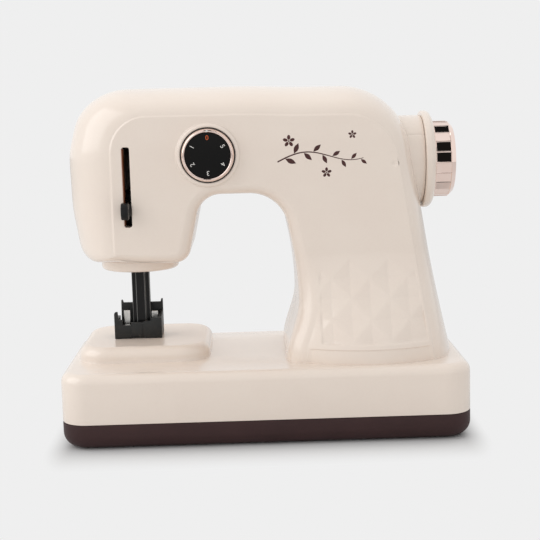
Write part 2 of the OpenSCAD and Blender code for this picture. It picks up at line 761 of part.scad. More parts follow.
module bar_guide() {
    color(black) difference() {
        block([needle_x - guide_w / 2, body_y - guide_d / 2, guide_z],
              [needle_x + guide_w / 2, body_y + guide_d / 2, guide_z + guide_t]);
        cross_bar(bar_play, guide_z - 1, guide_z + guide_t + 1);
        at_rods(rod_r + pin_gap, guide_z - 1, guide_z + guide_t + 1);
    }
}

module guide_rods() {
    color(steel) at_rods(rod_r, guide_z, bracket_z + bracket_t);
}

module rod_bracket() {
    color(black) difference() {
        block([needle_x - bracket_w / 2, carriage_y0, bracket_z],
              [needle_x + bracket_w / 2, back_y - wall - seat_gap, bracket_z + bracket_t]);
        at_rods(rod_r + pin_gap, bracket_z - 1, bracket_z + bracket_t + 1);
    }
}

module bar_carriage() {
    slot_y = crank_r + pin_r + bar_play;
    slot_h = pin_r + bar_play;
    color(black) difference() {
        union() {
            block([needle_x - carriage_w / 2, carriage_y0, carriage_low],
                  [needle_x + carriage_w / 2, carriage_y0 + carriage_d, carriage_low + carriage_h]);
            block([yoke_x - yoke_t - eps, carriage_y0, carriage_low],
                  [yoke_x, carriage_y0 + carriage_d, carriage_low + yoke_h]);
        }
        at_rods(rod_r + run_gap, carriage_low - 1, carriage_low + carriage_h + 1);
        block([yoke_x - yoke_t - 1, body_y - slot_y, shaft_z - crank_r - slot_h],
              [yoke_x + 1, body_y + slot_y, shaft_z - crank_r + slot_h]);
    }
}

module needle_bar() {
    color(black) cross_bar(0, shoe_z + shoe_floor, carriage_low);
}

module presser_foot() {
    color(black) difference() {
        union() {
            block([shoe_x0, shoe_y0, shoe_z], [shoe_x1, shoe_y1, shoe_z + shoe_floor]);
            block([shoe_x0, shoe_y0, shoe_z], [shoe_x1, shoe_y0 + shoe_wall, shoe_z + shoe_h]);
            for (x = [shoe_x0, shoe_x1 - shoe_wall])
                block([x, shoe_y0, shoe_z], [x + shoe_wall, shoe_y1, shoe_z + shoe_h]);
            block([shoe_x0 + prong_w, shoe_y1 - shoe_wall, shoe_z], [shoe_x1, shoe_y1, shoe_z + shoe_back_h]);
            for (x = [shoe_x0 + prong_w, shoe_x1 - prong_w])
                block([x, shoe_y1 - shoe_wall, shoe_z],
                      [x + prong_w, shoe_y1, shoe_z + shoe_back_h + prong_h]);
            block([shoe_x0, shoe_y0, shoe_z],
                  [shoe_x0 + prong_w, shoe_y0 + shoe_wall, shoe_z + shoe_h + 2 * prong_h]);
        }
        block([needle_x - notch_w / 2, shoe_y0 - 1, shoe_z + shoe_h - prong_h],
              [needle_x + notch_w / 2, shoe_y0 + shoe_wall + 1, shoe_z + shoe_h + 1]);
        block([needle_x - rib_w / 2, shoe_y0 - 1, shoe_z - 1],
              [needle_x + rib_w / 2, shoe_y0 + shoe_wall, shoe_z + shoe_wall]);
    }
}

module foot_clip(x, h) {
    z0 = shoe_z + shoe_floor;
    block([x, foot_y - clip_t, z0], [x + clip_w, foot_y, shoe_z + h]);
    block([x, foot_y - 2 * clip_t, z0], [x + clip_w, foot_y, z0 + clip_t]);
}

module foot_clips() {
    color(steel) {
        foot_clip(shoe_x0 + clip_left, shoe_h + clip_rise);
        foot_clip(shoe_x1 - clip_right - clip_w, shoe_h + clip_rise - clip_step);
    }
}

module take_up_lever() {
    y0 = face_y - lever_out;
    h = lever_h / 2;
    color(black) translate([lever_x - lever_w / 2, 0, lever_z]) along_x() linear_extrude(lever_w)
        polygon([[carriage_y0, -h], [carriage_y0, h], [y0 + lever_tip, h], [y0, h - lever_tip],
                 [y0, lever_tip - h], [y0 + lever_tip, -h]]);
}

// Drive
module main_shaft() { color(steel) rod_x(shaft_r, crank_x, shaft_end, body_y, shaft_z); }

module shaft_bushes() {
    starts = [rib_x + rib_t / 2 - bush_l / 2, frame_x0 + frame_t / 2 - bush_l / 2, neck_x1 - bush_l];
    color(brass) for (x = starts) difference() {
        rod_x(bush_r, x, x + bush_l, body_y, shaft_z);
        rod_x(shaft_r + run_gap, x - 1, x + bush_l + 1, body_y, shaft_z);
    }
}

module crank_disc() {
    color(cream) difference() {
        rod_x(disc_r, crank_x, crank_x + crank_t, body_y, shaft_z);
        rod_x(shaft_r + pin_gap, crank_x - 1, crank_x + crank_t + 1, body_y, shaft_z);
        rod_x(pin_r + pin_gap, crank_x - 1, crank_x + crank_t + 1, body_y, shaft_z - crank_r);
    }
}

module crank_pin() {
    color(steel) rod_x(pin_r, yoke_x + pin_short, crank_x + crank_t, body_y, shaft_z - crank_r);
}

module shaft_gear() {
    hub_r = shaft_r + hub_wall;
    hub_x = frame_x0 + (frame_t + bush_l) / 2 + end_play;
    color(cream) difference() {
        union() {
            gear(shaft_teeth, gear_x, gear_t, shaft_z, -90);
            rod_x(hub_r, hub_x, gear_x + eps, body_y, shaft_z);
        }
        rod_x(shaft_r + pin_gap, hub_x - 1, gear_x + gear_t + 1, body_y, shaft_z);
    }
}

module handwheel_flange() {
    q = flange_t * rim_share;
    color(cream) translate([flange_x, body_y, shaft_z]) along_x() rotate_extrude()
        polygon(concat([[shaft_r + pin_gap, 0]],
                       [for (s = [0 : arc_steps]) let (a = 90 * s / arc_steps)
                        [flange_r - q + q * sin(a), q - q * cos(a)]],
                       [for (s = [0 : arc_steps]) let (a = 90 * s / arc_steps)
                        [flange_r - q + q * cos(a), flange_t - q + q * sin(a)]],
                       [[shaft_r + pin_gap, flange_t]]));
}

module handwheel_knob() {
    steps = [[0, knob_r], [knob_l - knob_chamfer, knob_r], [knob_l, knob_r - knob_chamfer]];
    color(rose) difference() {
        loft([for (s = steps) [for (i = [0 : knob_flats - 1]) let (a = 360 * i / knob_flats)
              [knob_x + s[0], body_y + s[1] * cos(a), shaft_z + s[1] * sin(a)]]]);
        rod_x(shaft_r + pin_gap, knob_x - 1, shaft_end + seat_gap, body_y, shaft_z);
    }
}

module drive_frame() {
    color(steel) difference() {
        union() {
            for (x = [frame_x0, frame_x1])
                block([x, frame_y0, frame_low], [x + frame_t, web_y + frame_t, frame_top]);
            block([frame_x0, web_y, frame_low], [frame_x1 + frame_t, web_y + frame_t, frame_top]);
        }
        rod_x(bush_r + seat_gap, frame_x0 - 1, frame_x0 + frame_t + 1, body_y, shaft_z);
        rod_x(bush_r + 1, frame_x1 - 1, frame_x1 + frame_t + 1, body_y, shaft_z);
        rod_x(axle_r + pin_gap, frame_x0 - 1, frame_x1 + frame_t + 1, body_y, idler_z);
        rod_x(motor_nose_r + pin_gap, frame_x1 - 1, frame_x1 + frame_t + 1, body_y, motor_z);
        for (b = frame_bosses) rod_y(pass_r, web_y - 1, web_y + frame_t + 1, b[0], b[1]);
    }
}

module frame_screws() {
    color(steel) for (b = frame_bosses)
        translate([b[0], web_y - seat_gap, b[1]]) rotate([-90, 0, 0]) screw(frame_screw_l);
}

module idler_axle() { color(steel) rod_x(axle_r, frame_x0, frame_x1 + frame_t, body_y, idler_z); }

module idler_gear() {
    hub_r = axle_r + idler_wall;
    hub_x0 = frame_x0 + frame_t + end_play;
    hub_x1 = frame_x1 - end_play;
    color(nylon) difference() {
        union() {
            gear(idler_small, small_x, small_t + eps, idler_z, 90 + 180 / idler_small);
            gear(idler_large, large_x, large_t, idler_z, -90);
            rod_x(hub_r, hub_x0, hub_x1, body_y, idler_z);
        }
        rod_x(axle_r + run_gap, hub_x0 - 1, hub_x1 + 1, body_y, idler_z);
    }
}

module motor_round(r, x0, x1) {
    intersection() {
        rod_x(r, x0, x1, body_y, motor_z);
        block([x0 - 1, body_y - r, motor_z - motor_flat * r], [x1 + 1, body_y + r, motor_z + motor_flat * r]);
    }
}

module motor_can() {
    color(steel) difference() {
        union() {
            motor_round(motor_r, motor_x, motor_x + motor_l);
            rod_x(motor_nose_r, frame_x1 + seat_gap, motor_x + eps, body_y, motor_z);
        }
        rod_x(motor_shaft_r + run_gap, frame_x1 - 1, motor_x + motor_l / 2, body_y, motor_z);
    }
}

module motor_end_bell() {
    x0 = motor_x + motor_l;
    color(black) motor_round(motor_r - bell_step, x0, x0 + bell_l);
}

module motor_shaft() {
    color(steel) rod_x(motor_shaft_r, large_x - 1, motor_x + motor_l / 2 - 1, body_y, motor_z);
}

module motor_pinion() {
    color(brass) difference() {
        gear(motor_teeth, large_x - pinion_over, large_t + 2 * pinion_over, motor_z, 90 + 180 / motor_teeth);
        rod_x(motor_shaft_r + pin_gap, large_x - 2, large_x + large_t + 2, body_y, motor_z);
    }
}

// Dial
hub_t = 2;
hub_lift = 0.3;
hub_step = 0.2;
hub_y = face_y - hub_lift - hub_t;
ring_t = 2.9;
face_t = 1.7;
switch_w = 18;
switch_d = 11;

module dial_spindle() {
    color(black) {
        rod_y(dial_r - hub_step, hub_y, hub_y + hub_t, dial_x, dial_z);
        rod_y(spindle_r, hub_y, face_y + switch_d, dial_x, dial_z);
    }
}

module dial_ring() {
    q = (dial_r - face_r - pin_gap) / 2;
    mid = dial_r - q;
    color(rose) translate([dial_x, hub_y, dial_z]) rotate([90, 0, 0]) rotate_extrude()
        polygon(concat([[mid - q, 0], [dial_r, 0]],
                       [for (s = [0 : 2 * arc_steps]) let (a = 90 * s / arc_steps)
                        [mid + q * cos(a), ring_t - q + q * sin(a)]]));
}

module dial_face() { color(black) rod_y(face_r, hub_y - face_t, hub_y, dial_x, dial_z); }

module dial_switch() {
    y0 = face_y + wall + seat_gap;
    color(black) difference() {
        block([dial_x - switch_w / 2, y0, dial_z - switch_w / 2],
              [dial_x + switch_w / 2, y0 + switch_d, dial_z + switch_w / 2]);
        rod_y(spindle_r + run_gap, y0 - 1, face_y + switch_d + hub_lift, dial_x, dial_z);
    }
}

// Battery
nub_r = 2.7;
nub_l = 1;
spring_r = 3.6;
function cell_y(s) = s * (cell_r + bay_gap / 2);

module battery_cells() {
    color(copper) for (s = [-1, 1]) {
        rod_x(cell_r, -cell_l / 2 + (s < 0 ? nub_l : 0), cell_l / 2 - (s < 0 ? 0 : nub_l), cell_y(s), cell_z);
        rod_x(nub_r, s < 0 ? -cell_l / 2 : 0, s < 0 ? 0 : cell_l / 2, cell_y(s), cell_z);
    }
}

module battery_contacts() {
    x0 = bay_l / 2 - contact_t;
    h = cell_r - contact_in;
    color(steel) {
        block([-bay_l / 2, cell_y(-1) - h, cell_z - h], [-x0, cell_y(1) + h, cell_z + h]);
        rod_x(nub_r, -x0 - eps, -cell_l / 2 - seat_gap, cell_y(-1), cell_z);
        for (s = [-1, 1]) {
            block([x0, cell_y(s) - h, cell_z - h], [bay_l / 2, cell_y(s) + h, cell_z + h]);
            block([x0, cell_y(s) - tab_w / 2, cell_z], [bay_l / 2, cell_y(s) + tab_w / 2, tab_h]);
        }
        rod_x(nub_r, cell_l / 2 + seat_gap, x0 + eps, cell_y(1), cell_z);
    }
}

module battery_springs() {
    reach = bay_l / 2 - contact_t - cell_l / 2 - 2 * seat_gap;
    color(steel) for (s = [-1, 1])
        translate([s * (-cell_l / 2 - seat_gap), cell_y(s), cell_z]) rotate([0, -s * 90, 0])
            cylinder(r1 = nub_r, r2 = spring_r, h = reach);
}

module switch_lead() { color(red) lead(switch_route); }
module motor_lead() { color(red) lead(motor_route); }
module return_lead() { color(black) lead(return_route); }

bottom_tray();
base_cover();
front_cover();
rear_cover();
needle_collar();
battery_door();
battery_door_screw();
tray_screws();
column_screws();
cover_screws();
rubber_feet();
bar_guide();
guide_rods();
rod_bracket();
bar_carriage();
needle_bar();
presser_foot();
foot_clips();
take_up_lever();
main_shaft();
shaft_bushes();
crank_disc();
crank_pin();
shaft_gear();
handwheel_flange();
handwheel_knob();
drive_frame();
frame_screws();
idler_axle();
idler_gear();
motor_can();
motor_end_bell();
motor_shaft();
motor_pinion();
dial_ring();
dial_face();
dial_spindle();
dial_switch();
battery_cells();
battery_contacts();
battery_springs();
switch_lead();
motor_lead();
return_lead();
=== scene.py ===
"""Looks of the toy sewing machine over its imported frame. Sizes are in millimetres, on the stage in metres."""

import json
import math

import bmesh
import bpy
from mathutils import Matrix, Vector


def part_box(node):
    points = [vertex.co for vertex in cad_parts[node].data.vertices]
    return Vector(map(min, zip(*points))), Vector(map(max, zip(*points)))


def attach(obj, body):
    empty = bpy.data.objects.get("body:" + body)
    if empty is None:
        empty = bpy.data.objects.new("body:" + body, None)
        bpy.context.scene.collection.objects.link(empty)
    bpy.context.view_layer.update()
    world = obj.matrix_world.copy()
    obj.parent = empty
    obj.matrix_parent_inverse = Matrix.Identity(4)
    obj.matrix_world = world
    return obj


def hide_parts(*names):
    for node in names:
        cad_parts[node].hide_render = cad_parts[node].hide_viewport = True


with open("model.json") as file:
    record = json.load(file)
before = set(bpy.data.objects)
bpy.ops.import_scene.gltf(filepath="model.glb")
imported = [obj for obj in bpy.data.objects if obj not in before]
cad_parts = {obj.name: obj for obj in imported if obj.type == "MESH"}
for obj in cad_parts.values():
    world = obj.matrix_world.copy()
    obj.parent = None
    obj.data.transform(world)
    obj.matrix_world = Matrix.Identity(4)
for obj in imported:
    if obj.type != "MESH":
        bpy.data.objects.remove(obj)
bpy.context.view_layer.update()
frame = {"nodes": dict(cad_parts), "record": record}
MM = 0.001
MERGE, IN_PLANE, NO_LENGTH = 0.002, 0.001, 0.00001


# Mesh helpers

def smooth(t):
    t = min(1.0, max(0.0, t))
    return t * t * (3 - 2 * t)


def mix(a, b, t):
    return a + (b - a) * t


def first_loop(bm, points, closed=True):
    verts = [bm.verts.new(p) for p in points]
    ends = verts[1:] + verts[:1] if closed else verts[1:]
    return verts, [bm.edges.new(pair) for pair in zip(verts, ends)]


def carry(bm, verts, edges, points):
    """Extrudes a loop and puts the new loop on the points."""
    made = bmesh.ops.extrude_edge_only(bm, edges=edges)["geom"]
    fresh = {g for g in made if isinstance(g, bmesh.types.BMVert)}
    new = []
    for v, p in zip(verts, points):
        w = next(e.other_vert(v) for e in v.link_edges if e.other_vert(v) in fresh)
        w.co = p
        new.append(w)
    return new, [g for g in made if isinstance(g, bmesh.types.BMEdge) and set(g.verts) <= fresh]


def sweep(bm, rings, closed=True, cap_first=False, cap_last=False):
    """Carries the first ring through all the others."""
    verts, edges = first_loop(bm, rings[0], closed)
    if cap_first:
        bmesh.ops.contextual_create(bm, geom=edges)
    for ring in rings[1:]:
        verts, edges = carry(bm, verts, edges, ring)
    if cap_last:
        bmesh.ops.contextual_create(bm, geom=edges)


def weld(bm):
    bmesh.ops.remove_doubles(bm, verts=bm.verts, dist=MERGE)


def fill_plane(bm, axis, level, normal, test=None):
    """Fills the open loops that lie in one plane."""
    edges = [e for e in bm.edges if len(e.link_faces) < 2
             and all(abs(v.co[axis] - level) < IN_PLANE and (test is None or test(v.co)) for v in e.verts)]
    bmesh.ops.triangle_fill(bm, edges=edges, normal=normal, use_beauty=True)


def lathe(bm, profile, centre, axis, steps=96, out=(0, 0, 1)):
    """Spins a profile of (radius, height along the axis)."""
    axis, out, centre = Vector(axis), Vector(out), Vector(centre)
    verts, edges = first_loop(bm, [centre + axis * h + out * r for r, h in profile], closed=False)
    bmesh.ops.spin(bm, geom=verts + edges, cent=centre, axis=axis, angle=2 * math.pi, steps=steps,
                   use_merge=True)


def soften(bm, edges, width):
    """Bevels edges in two steps."""
    bmesh.ops.bevel(bm, geom=edges, offset=width, offset_type="OFFSET", affect="EDGES", segments=2,
                    profile=0.5, material=-1)


def rounded(points, radius, steps=5):
    """A profile with its inner corners rounded."""
    pts = [Vector(p) for p in points]
    result = [pts[0]]
    for a, b, c in zip(pts, pts[1:], pts[2:]):
        r = min(radius, (a - b).length * 0.49, (c - b).length * 0.49)
        p, q = b + (a - b).normalized() * r, b + (c - b).normalized() * r
        result += [p.lerp(b, t).lerp(b.lerp(q, t), t) for t in (k / steps for k in range(steps + 1))]
    return [tuple(p) for p in result + [pts[-1]]]


def rectangle(hx, hy, r, steps=12):
    """Points round a rectangle with rounded corners."""
    points = []
    for k, (sx, sy) in enumerate(((1, 1), (-1, 1), (-1, -1), (1, -1))):
        for s in range(steps + 1):
            a = math.radians(90 * k + 90 * s / steps)
            points.append(Vector((sx * (hx - r) + r * math.cos(a), sy * (hy - r) + r * math.sin(a))))
    return points


def corners(x, y):
    """The four places at plus and minus x and y."""
    return [(sx * x, sy * y) for sx in (-1, 1) for sy in (-1, 1)]


def finish_piece(name, bm, body, look, nodes=(), sharp=32.0):
    """Turns a finished bmesh in millimetres into a piece that rides on a body."""
    weld(bm)
    bmesh.ops.dissolve_degenerate(bm, edges=bm.edges, dist=NO_LENGTH)
    bmesh.ops.recalc_face_normals(bm, faces=bm.faces)
    bmesh.ops.scale(bm, vec=(MM, MM, MM), verts=bm.verts)
    limit = math.radians(sharp)
    for f in bm.faces:
        f.smooth = True
    for e in bm.edges:
        e.smooth = len(e.link_faces) == 2 and e.calc_face_angle(0.0) < limit
    mesh = bpy.data.meshes.new(name)
    bm.to_mesh(mesh)
    bm.free()
    mesh.materials.append(LOOKS[look])
    obj = bpy.data.objects.new(name, mesh)
    bpy.context.scene.collection.objects.link(obj)
    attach(obj, body)
    if nodes:
        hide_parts(*nodes)


# Shader helpers

class Value:
    """A shader socket with arithmetic."""

    def __init__(self, look, socket):
        self.look, self.socket = look, socket

    def op(self, name, *rest, swap=False):
        args = [*rest, self] if swap else [self, *rest]
        return self.look.node("ShaderNodeMath", {"operation": name}, dict(enumerate(args)))

    def __add__(self, o):
        return self.op("ADD", o)

    def __sub__(self, o):
        return self.op("SUBTRACT", o)

    def __mul__(self, o):
        return self.op("MULTIPLY", o)

    def __rsub__(self, o):
        return self.op("SUBTRACT", o, swap=True)

    __radd__ = __add__
    __rmul__ = __mul__

    def step(self, low, high):
        """Smooth step from low to high."""
        return self.look.node("ShaderNodeMapRange", {"interpolation_type": "SMOOTHSTEP"},
                              {"Value": self, "From Min": low, "From Max": high})


class Look:
    """A tree of shader nodes, built up with node()."""

    def __init__(self, tree):
        self.tree = tree
        self.tree.nodes.clear()

    def node(self, kind, settings=None, inputs=None, out=0):
        made = self.tree.nodes.new(kind)
        for key, value in (settings or {}).items():
            setattr(made, key, value)
        for key, value in (inputs or {}).items():
            if isinstance(value, Value):
                self.tree.links.new(value.socket, made.inputs[key])
            else:
                made.inputs[key].default_value = value
        return Value(self, made.outputs[out]) if len(made.outputs) else None

    def noise(self, scale, detail=2.0, rough=0.5, vector=None):
        where = vector or self.place()
        return self.node("ShaderNodeTexNoise", None,
                         {"Vector": where, "Scale": scale, "Detail": detail, "Roughness": rough})

    def place(self):
        return self.node("ShaderNodeTexCoord", out="Object")

    def along(self, axis):
        """The place along one axis, in metres."""
        return self.node("ShaderNodeSeparateXYZ", None, {0: self.place()}, out=axis)

    def blend(self, factor, a, b):
        return self.node("ShaderNodeMix", {"data_type": "RGBA"}, {"Factor": factor, 6: a, 7: b}, out=2)

    def bump(self, height, strength, distance):
        return self.node("ShaderNodeBump", None,
                         {"Height": height, "Strength": strength, "Distance": distance})


def rgb(r, g, b):
    """Linear colour of an 8-bit sRGB colour."""
    return tuple((c / 12.92 if c <= 0.04045 else ((c + 0.055) / 1.055) ** 2.4)
                 for c in (r / 255, g / 255, b / 255)) + (1.0,)


def new_material(name):
    mat = bpy.data.materials.new(name)
    mat.use_nodes = True
    return mat, Look(mat.node_tree)


def material(name, build):
    """A material of one shader, whose sockets come from a build function."""
    mat, look = new_material(name)
    shader = look.node("ShaderNodeBsdfPrincipled", None, build(look))
    look.node("ShaderNodeOutputMaterial", None, {"Surface": shader})
    return mat


COAT_ROUGH = 0.03


def moulded(light, dark, gloss, grain, coat=0.0, depth=0.00002, scale=900.0, shine=0.5):
    """Moulded plastic: slight flow marks in tone and gloss, and a fine grain."""
    def build(look):
        flow = look.noise(38.0, 3.0)
        fine = look.noise(scale, 2.0)
        tone = look.blend((flow * 0.7 + fine * 0.3).step(0.3, 0.7), light, dark)
        return {"Base Color": tone, "Roughness": gloss + (flow - 0.5) * 0.06 + (fine - 0.5) * 0.05,
                "Normal": look.bump(fine, grain, depth), "Coat Weight": coat, "Coat Roughness": COAT_ROUGH,
                "IOR": 1.5, "Specular IOR Level": shine}
    return build


def thinner_coat(build, low, high, share):
    """The same plastic with less of its coat above a height."""
    def thinned(look):
        inputs = build(look)
        inputs["Coat Weight"] = inputs["Coat Weight"] * (1 - look.along(2).step(low, high) * share)
        return inputs
    return thinned


def metal(light, dark, rough, streak, stretch):
    """Metal with drawn streaks along one axis."""
    def build(look):
        mapped = look.node("ShaderNodeMapping", None, {"Vector": look.place(), "Scale": stretch})
        lines = look.noise(1.0, 4.0, 0.6, mapped)
        cloud = look.noise(120.0, 2.0)
        return {"Base Color": look.blend(lines.step(0.3, 0.7), light, dark), "Metallic": 1.0,
                "Roughness": rough + (cloud - 0.5) * 0.06 + (lines - 0.5) * streak,
                "Normal": look.bump(lines, 0.1, 0.00001)}
    return build


def plated(light, dark):
    """Bright plating with faint haze."""
    def build(look):
        haze = look.noise(160.0, 3.0)
        return {"Base Color": look.blend(haze.step(0.3, 0.7), light, dark), "Metallic": 1.0,
                "Roughness": 0.0, "Normal": look.bump(haze, 0.03, 0.00002)}
    return build


CREAM = moulded(rgb(242, 229, 217), rgb(240, 226, 214), 0.24, 0.01, coat=0.6)
FINISHES = {
    "cream_plastic": CREAM,
    "base_cream": thinner_coat(CREAM, 45.5 * MM, 46.8 * MM, 0.85),
    "brown_plastic": moulded(rgb(61, 40, 40), rgb(55, 36, 36), 0.5, 0.3, depth=0.00004, shine=0.25),
    "black_plastic": moulded(rgb(18, 18, 18), rgb(14, 14, 15), 0.3, 0.2, depth=0.00003, shine=0.25),
    # A lighter grey for bevelled edges: a painted highlight standing in for the light that rounded edges catch.
    "painted_edge_highlight": moulded(rgb(104, 104, 103), rgb(92, 92, 91), 0.3, 0.2, depth=0.00003),
    "foot_black": moulded(rgb(42, 43, 43), rgb(34, 35, 35), 0.42, 0.2, depth=0.00003, shine=0.3),
    "dial_plastic": moulded(rgb(14, 13, 12), rgb(10, 10, 10), 0.25, 0.2, depth=0.00003, scale=1500.0,
                            shine=0.15),
    "gear_plastic": moulded(rgb(232, 230, 222), rgb(224, 221, 212), 0.4, 0.2),
    "rose_chrome": plated(rgb(247, 227, 218), rgb(244, 221, 211)),
    "screw_steel": metal(rgb(205, 207, 210), rgb(180, 182, 185), 0.28, 0.1, (300, 300, 300)),
    "shaft_steel": metal(rgb(215, 217, 220), rgb(195, 197, 200), 0.2, 0.1, (80, 900, 900)),
    "clip_steel": metal(rgb(226, 225, 222), rgb(206, 205, 202), 0.32, 0.12, (1500, 300, 300)),
    "frame_steel": metal(rgb(200, 202, 204), rgb(176, 178, 180), 0.38, 0.15, (90, 900, 900)),
    "bush_brass": metal(rgb(226, 190, 112), rgb(206, 168, 92), 0.3, 0.1, (90, 700, 700)),
    "foot_rubber": moulded(rgb(34, 34, 34), rgb(27, 27, 27), 0.75, 0.5, depth=0.00006),
    "cell_metal": moulded(rgb(190, 150, 96), rgb(180, 140, 88), 0.3, 0.1, coat=0.3),
    "red_lead": moulded(rgb(178, 44, 38), rgb(164, 38, 33), 0.42, 0.2),
    "black_lead": moulded(rgb(36, 36, 36), rgb(29, 29, 29), 0.45, 0.2),
    # Brown for the slot's left inner wall: a painted shade for the cream wall in shadow.
    "slot_painted_shade": moulded(rgb(150, 92, 60), rgb(138, 82, 52), 0.5, 0.2),
    "white_print": moulded(rgb(232, 230, 226), rgb(220, 218, 214), 0.5, 0.2),
    "orange_print": moulded(rgb(214, 96, 40), rgb(198, 86, 34), 0.5, 0.2),
    "maroon_print": moulded(rgb(72, 24, 20), rgb(60, 18, 15), 0.4, 0.2),
}
LOOKS = {name: material(name, build) for name, build in FINISHES.items()}


# Outline of the body's two covers

BODY_Y, HALF_D, WALL = 8.0, 35.0, 2.2
ARM_TOP, THROAT_TOP, HEAD_LOW, BASE_H, COL_TOP = 181.0, 126.0, 91.0, 39.0, 100.0
HEAD_X, HEAD_LEAN, HEAD_R, HEAD_LOW_R = -97.0, 8.0, 33.0, 12.0
THROAT_X, THROAT_LEAN, THROAT_R, ARCH_R = -38.6, 7.6, 13.0, 20.0
WAIST_X, WAIST_H, FOOT_FLARE, WAIST_DRAW = 18.4, 70.0, 7.2, 2.9
SHOULDER_X, RIGHT_SLOPE, RIGHT_CURVE, SHOULDER_R, SHOULDER_LEAN = 88.4, 0.164, 0.0006, 36.0, 0.16
TOP_BAND, LEFT_BAND, RIGHT_BAND, EDGE, CREASE_SLOPE = 13.6, 19.8, 9.4, 5.0, 0.15
FLARE, BULGE, FLARE_H, FLARE_LOW = 11.0, 9.0, 95.0, 42.0
ARCH_RISE, ARCH_LEAN, STRAIGHT = 26.0, 0.2, 2.0
CREASE_ROUND, CREASE_LOW_R = 3.0, 2.5
CREASE_STEP, CREASE_W, RIM = 0.7, 1.5, 0.35
BAND_TURN = math.radians(83)
FRONT_Y, BACK_Y = BODY_Y - HALF_D, BODY_Y + HALF_D
LEVELS, COLUMNS, ARC, RUN, BAND, INNER_BAND, CREASE_STEPS = 160, 170, 24, 10, 16, 6, 8
EDGE_FOOT, EDGE_WAIST, EDGE_Z, EDGE_RUN, EDGE_SLOPE, EDGE_MOST = 9.6, 6.0, 66.0, 40.0, 1.2, 10.0
SOFT_CORNER, CREASE_FINE, FACE_LIP = 0.7, 0.4, 0.25
# Reach, height and spread of the bows in the head's left side, and where they start along the arm
BOWS = ((1.7, 156.0, 10.5), (-1.15, 119.0, 13.0))
BOW_X, BOW_RUN = -75.0, 18.0
# Fall, start and length of the slopes along the arm's top, and the height they start at
SLOPES = ((1.2, -8.0, 32.0), (0.9, 38.0, 35.0))
SLOPE_Z, SLOPE_RUN = 135.0, 28.0
# Relief on the column's face: its lattice, its pyramids, the sunk field round them and the step below
LATTICE_X, LATTICE_Z, CELL_W, CELL_H = 44.8, 81.4, 9.95, 10.25
PYRAMID_SLOPE, PYRAMID_DEEP = 2.16, 1.15
FIELD_LEFT, FIELD_LOW, FIELD_GAP, FIELD_DEEP, FIELD_Z, FIELD_RUN = 28.4, 48.7, 2.2, 0.4, 78.0, 22.0
STEP_DEEP, STEP_Z, STEP_W = 0.6, 46.6, 0.5
DIAL = Vector((-26.5, 0.0, 146.5))
SHAFT_Z = 139.5


def left_x(z):
    high = max(0.0, (z - WAIST_H) / (COL_TOP - WAIST_H))
    return WAIST_X - FOOT_FLARE * smooth((WAIST_H - z) / (WAIST_H - BASE_H)) - WAIST_DRAW * high ** 2


def right_x(z):
    return SHOULDER_X + RIGHT_SLOPE * (COL_TOP - z) + RIGHT_CURVE * (COL_TOP - z) ** 2


def edge_left(z):
    return mix(EDGE_FOOT, EDGE_WAIST, smooth((z - EDGE_Z) / EDGE_RUN))


def crease_right(z):
    return SHOULDER_X - RIGHT_BAND + CREASE_SLOPE * (COL_TOP - z)


def corner(a, b, c, r):
    """Points of a rounded corner at b."""
    u, v = (a - b).normalized(), (c - b).normalized()
    half = math.acos(u.dot(v)) / 2
    mid = b + (u + v).normalized() * (r / math.sin(half))
    back, on = b - a, c - b
    turn = math.copysign(math.pi - 2 * half, back.x * on.y - back.y * on.x)
    p = b + u * (r / math.tan(half)) - mid
    a0 = math.atan2(p.y, p.x)
    angles = [a0 + turn * i / ARC for i in range(ARC + 1)]
    return [mid + Vector((math.cos(a), math.sin(a))) * r for a in angles]


def bowed(p):
    """A point of an outline after the head's left side is bowed and the arm's top is crowned."""
    side = sum(reach * math.exp(-((p.y - z) / spread) ** 2) for reach, z, spread in BOWS)
    fall = sum(drop * smooth((p.x - start) / run) for drop, start, run in SLOPES)
    return Vector((p.x + side * smooth((BOW_X - p.x) / BOW_RUN),
                   p.y - fall * smooth((p.y - SLOPE_Z) / SLOPE_RUN)))


def outline(left, path, radii, right):
    """Points round an outline: up the column's left side, round the corners and down its right side."""
    path = [Vector(p) for p in path]
    ends = [left[-1]] + path + [right[0]]
    parts = [left] + [corner(*ends[i:i + 3], r) for i, r in enumerate(radii)] + [right]
    points = []
    for a, b in zip(parts, parts[1:]):
        points += a + [a[-1].lerp(b[0], t / RUN) for t in range(1, RUN)]
    return [bowed(p) for p in points + right]


HEIGHTS = [mix(BASE_H, COL_TOP, j / LEVELS) for j in range(LEVELS + 1)]
ARCH_X = left_x(COL_TOP) - ARCH_LEAN * ARCH_RISE
EDGE_LINE = outline(
    [Vector((left_x(z), z)) for z in HEIGHTS],
    [(ARCH_X, THROAT_TOP), (THROAT_X + THROAT_LEAN, THROAT_TOP), (THROAT_X, HEAD_LOW), (HEAD_X, HEAD_LOW),
     (HEAD_X - HEAD_LEAN, ARM_TOP), (SHOULDER_X - SHOULDER_LEAN * (ARM_TOP - COL_TOP), ARM_TOP)],
    [ARCH_R, THROAT_R, EDGE + CREASE_ROUND, HEAD_LOW_R, HEAD_R, SHOULDER_R],
    [Vector((right_x(z), z)) for z in reversed(HEIGHTS)])
FACE_TOP = ARM_TOP - TOP_BAND
FACE_LINE = outline(
    [Vector((left_x(z) + edge_left(z), z)) for z in HEIGHTS],
    [(ARCH_X + EDGE, THROAT_TOP + EDGE), (THROAT_X + THROAT_LEAN - EDGE, THROAT_TOP + EDGE),
     (THROAT_X - EDGE, HEAD_LOW + EDGE), (HEAD_X + LEFT_BAND, HEAD_LOW + EDGE),
     (HEAD_X + LEFT_BAND, FACE_TOP),
     (SHOULDER_X - RIGHT_BAND - SHOULDER_LEAN * (FACE_TOP - COL_TOP), FACE_TOP)],
    [ARCH_R + EDGE, THROAT_R + EDGE, CREASE_ROUND, CREASE_LOW_R, HEAD_R - TOP_BAND,
     SHOULDER_R - RIGHT_BAND],
    [Vector((crease_right(z), z)) for z in reversed(HEIGHTS)])
